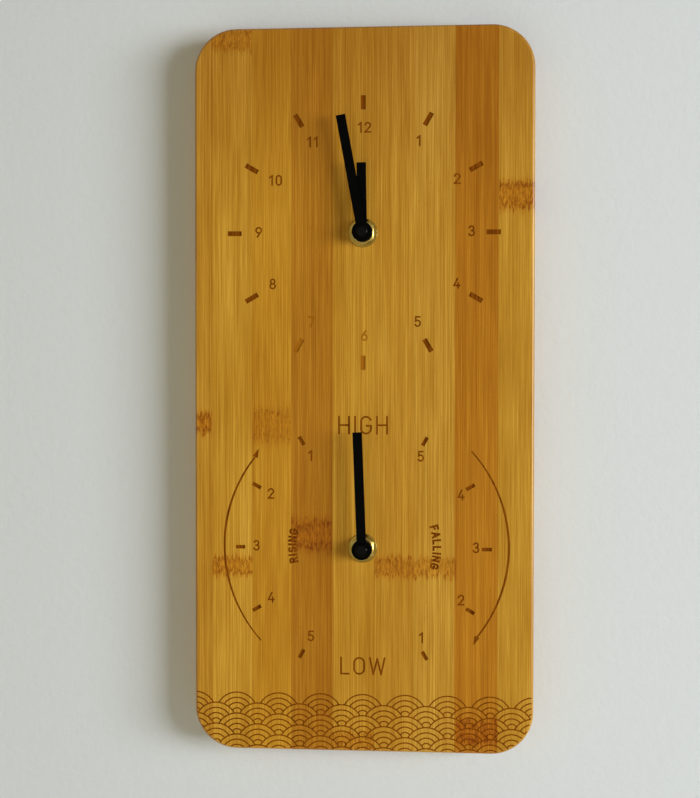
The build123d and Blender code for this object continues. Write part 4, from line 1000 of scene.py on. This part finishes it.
hand_edge = 0.00009
cap_edge = 0.00005
hand_colours = ((0.0005, 0.0005, 0.0005, 1), (0.0011, 0.0011, 0.0011, 1))
cap_colours = ((0.0006, 0.0006, 0.0007, 1), (0.0012, 0.0012, 0.0013, 1))
hand_gloss = 0.03
cap_gloss = 0.06


def hand_material():
    """Satin black spray with the faint orange peel of paint."""
    material, tree, shader, place = new_material("hand_black")
    peel = streaks(tree, place, (1600, 1600, 1600), 7.0, 2.0, 0.5)
    wear = streaks(tree, place, (160, 160, 160), 2.0, 3.0, 0.6)
    worn = ranged(tree, wear, 0.4, 0.7)
    colour = mixed(tree, worn, *hand_colours)
    tree.links.new(colour, shader.inputs["Base Color"])
    tree.links.new(ranged(tree, wear, 0.3, 0.7, 0.38, 0.5), shader.inputs["Roughness"])
    tree.links.new(bumped(tree, peel, 0.00002, 0.35), shader.inputs["Normal"])
    shader.inputs["Specular IOR Level"].default_value = hand_gloss
    return material


def cap_material():
    """Glossy black moulding with faint swirl marks."""
    material, tree, shader, place = new_material("cap_plastic")
    swirl = streaks(tree, place, (700, 700, 700), 3.0, 4.0, 0.6)
    worn = ranged(tree, swirl, 0.35, 0.7)
    colour = mixed(tree, worn, *cap_colours)
    tree.links.new(colour, shader.inputs["Base Color"])
    tree.links.new(ranged(tree, swirl, 0.3, 0.7, 0.08, 0.12), shader.inputs["Roughness"])
    shader.inputs["Specular IOR Level"].default_value = cap_gloss
    return material


hand_black = hand_material()
cap_plastic = cap_material()
for hand, body in (("time_hour_hand", "time_hour_body"), ("time_minute_hand", "time_minute_body"),
                   ("tide_hand", "tide_hand_body")):
    stands_for(eased(hand + "_bar", hand, hand_edge, hand_black), body, hand)
for movement, body in (("time", "time_minute_body"), ("tide", "tide_hand_body")):
    cap = eased(f"{movement}_shaft_cap", f"{movement}_hand_cap", cap_edge, cap_plastic)
    stands_for(cap, body, f"{movement}_hand_cap")

# Knob, battery and contacts: what is handled from the back. The knob is grey plastic with a bar,
# the cell a steel can in a plain printed sleeve, and the contacts are plated spring strip.

sleeve_wall = 0.00012
band_start_share = 0.76
sleeve_end_share = 0.966
sleeve_start_share = 0.012
sleeve_colours = ((0.030, 0.075, 0.105, 1), (0.040, 0.092, 0.125, 1))
band_colour = (0.62, 0.63, 0.62, 1)
can_colour = (0.66, 0.66, 0.65, 1)
grip_reach_share = 0.78
grip_line = 0.0015
grip_height = 0.00025

knob_plastic = plastic_material(
    "knob_plastic", (0.055, 0.055, 0.056, 1), (0.085, 0.085, 0.084, 1), 0.42, 2200, 0.00004)
contact_metal = metal_material("contact_metal", (0.68, 0.66, 0.62, 1), (0.56, 0.54, 0.50, 1), 0.26, 800)


def sleeve_material(plus_x, minus_x):
    """Plain printed sleeve with a pale band at its plus end, and bare steel beyond its ends."""
    material, tree, shader, place = new_material("battery_sleeve")
    x = node(tree, "ShaderNodeSeparateXYZ", {"Vector": place}).outputs["X"]
    along = maths(tree, "DIVIDE", maths(tree, "SUBTRACT", x, minus_x), plus_x - minus_x)
    print_grain = streaks(tree, place, (600, 600, 600), 8.0, 3.0, 0.6)
    printed = ranged(tree, print_grain, 0.35, 0.65)
    sleeve = mixed(tree, printed, *sleeve_colours)
    band = maths(tree, "GREATER_THAN", along, band_start_share)
    sleeve = mixed(tree, band, sleeve, band_colour)
    past_plus = maths(tree, "GREATER_THAN", along, sleeve_end_share)
    past_minus = maths(tree, "LESS_THAN", along, sleeve_start_share)
    ends = maths(tree, "MAXIMUM", past_plus, past_minus)
    tree.links.new(mixed(tree, ends, sleeve, can_colour), shader.inputs["Base Color"])
    tree.links.new(ends, shader.inputs["Metallic"])
    tree.links.new(ranged(tree, print_grain, 0.3, 0.7, 0.24, 0.34), shader.inputs["Roughness"])
    return material


def knob_grip(movement):
    """A raised bar across the knob's face, slimmer towards its ends, for a fingertip."""
    low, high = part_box(f"{movement}_setting_knob")
    x, z = (low.x + high.x) / 2, (low.z + high.z) / 2
    reach = grip_reach_share * (high.x - low.x) / 2
    bar = [(x - reach, z), (x, z), (x + reach, z)]
    return bars(f"{movement}_knob_grip", [(bar, [grip_line / 2, grip_line, grip_line / 2], False)],
                grip_height, high.y, knob_plastic)


for movement in movements:
    coat(knob_plastic, f"{movement}_setting_knob")
    grip = knob_grip(movement)
    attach(grip, f"{movement}_setting_knob_body")
    coat(contact_metal, f"{movement}_positive_contact", f"{movement}_negative_contact")
    battery_low, battery_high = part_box(f"{movement}_battery")
    ends = (battery_low.x, battery_high.x)
    plus_is_right = middle(f"{movement}_positive_contact").x > middle(f"{movement}_negative_contact").x
    sleeve = sleeve_material(*(ends[::-1] if plus_is_right else ends))
    cell = eased(f"{movement}_cell", f"{movement}_battery", sleeve_wall, sleeve)
    stands_for(cell, f"{movement}_battery_body", f"{movement}_battery")

# Stage: a plain pale wall behind the clock and a pale floor below, lit by a large soft window on the right.
# The wall is seen from the front only, so that the back of the clock can be looked at as well.

wall_gap = 0.0004
wall_reach = 1.6
floor_reach = 1.0
floor_drop = 0.42
wall_colour = (0.72, 0.77, 0.77, 1)
floor_colour = (0.66, 0.65, 0.63, 1)
fill_colour = (1.0, 0.88, 0.60, 1)
fill_strength = 0.15
backdrop_colour = (0.42, 0.425, 0.43, 1)
camera_lens = 67.67
camera_sensor = 36.0
camera_place = (0.05973, -0.76194, -0.13461)
camera_turns = (88.656, -0.036, 5.1)
# Each lamp has its place, width, height, power in watts and colour.
lamps = {
    "window": ((1.99, -1.36, -0.06), 1.4, 0.9, 54, (0.98, 1.0, 1.08)),
    "room": ((-0.35, -1.3, -0.45), 1.4, 1.4, 4.2, (1.0, 0.88, 0.60)),
    "behind": ((-0.7, 1.3, 0.5), 1.2, 1.2, 22, (1.0, 0.98, 0.95)),
}


def stage_material(name, colour, one_sided):
    """Matt paint, clear from behind where it stands for a wall."""
    material, tree, shader, place = new_material(name)
    grain = streaks(tree, place, (220, 220, 220), 1.0, 4.0, 0.6)
    tree.links.new(bumped(tree, grain, 0.0006, 0.35), shader.inputs["Normal"])
    shader.inputs["Base Color"].default_value = colour
    shader.inputs["Roughness"].default_value = 0.9
    if one_sided:
        clear = node(tree, "ShaderNodeBsdfTransparent")
        behind = node(tree, "ShaderNodeNewGeometry").outputs["Backfacing"]
        both = node(tree, "ShaderNodeMixShader", {0: behind, 1: shader.outputs[0], 2: clear.outputs[0]})
        tree.links.new(both.outputs[0], tree.nodes["Material Output"].inputs["Surface"])
    return material


def stage_plane(name, corners, material):
    """A flat piece of the stage."""
    mesh = bpy.data.meshes.new(name)
    mesh.from_pydata(corners, [], [tuple(range(len(corners)))])
    mesh.materials.append(material)
    plane = linked(name, mesh)
    return plane


wall_y = board_high.y + wall_gap
floor_z = board_low.z - floor_drop
wall = stage_plane("wall", [
    (-wall_reach, wall_y, floor_z), (wall_reach, wall_y, floor_z),
    (wall_reach, wall_y, wall_reach), (-wall_reach, wall_y, wall_reach),
], stage_material("wall_paint", wall_colour, True))
wall.visible_shadow = False
wall.visible_diffuse = False
stage_plane("floor", [
    (-floor_reach, -floor_reach, floor_z), (floor_reach, -floor_reach, floor_z),
    (floor_reach, floor_reach, floor_z), (-floor_reach, floor_reach, floor_z),
], stage_material("floor_paint", floor_colour, False))


def soft_light(name, place, width, height, power, colour, aim):
    """A large lamp that looks at a point."""
    lamp = bpy.data.lights.new(name, "AREA")
    lamp.shape = "RECTANGLE"
    lamp.size = width
    lamp.size_y = height
    lamp.energy = power
    lamp.color = colour
    light = linked(name, lamp)
    light.location = place
    light.rotation_euler = (aim - Vector(place)).to_track_quat("-Z", "Y").to_euler()
    return light


for name, lamp in lamps.items():
    soft_light(name, *lamp, board_middle)

world = bpy.data.worlds.new("studio")
world.use_nodes = True
bpy.context.scene.world = world
sky = world.node_tree
lit = sky.nodes["Background"]
lit.inputs["Color"].default_value = fill_colour
lit.inputs["Strength"].default_value = fill_strength
seen = node(sky, "ShaderNodeBackground", {"Color": backdrop_colour, "Strength": 1.0})
ray = node(sky, "ShaderNodeLightPath").outputs
either = maths(sky, "MAXIMUM", ray["Is Camera Ray"], ray["Is Glossy Ray"])
either = maths(sky, "MAXIMUM", either, ray["Is Transmission Ray"])
chosen = node(sky, "ShaderNodeMixShader", {0: either, 1: lit.outputs[0], 2: seen.outputs[0]})
sky.links.new(chosen.outputs[0], sky.nodes["World Output"].inputs["Surface"])

lens = bpy.data.cameras.new("photographer")
lens.lens = camera_lens
lens.sensor_width = camera_sensor
camera = linked("photographer", lens)
camera.location = camera_place
camera.rotation_euler = [math.radians(turn) for turn in camera_turns]
bpy.context.scene.camera = camera
bpy.context.scene.view_settings.view_transform = "Standard"
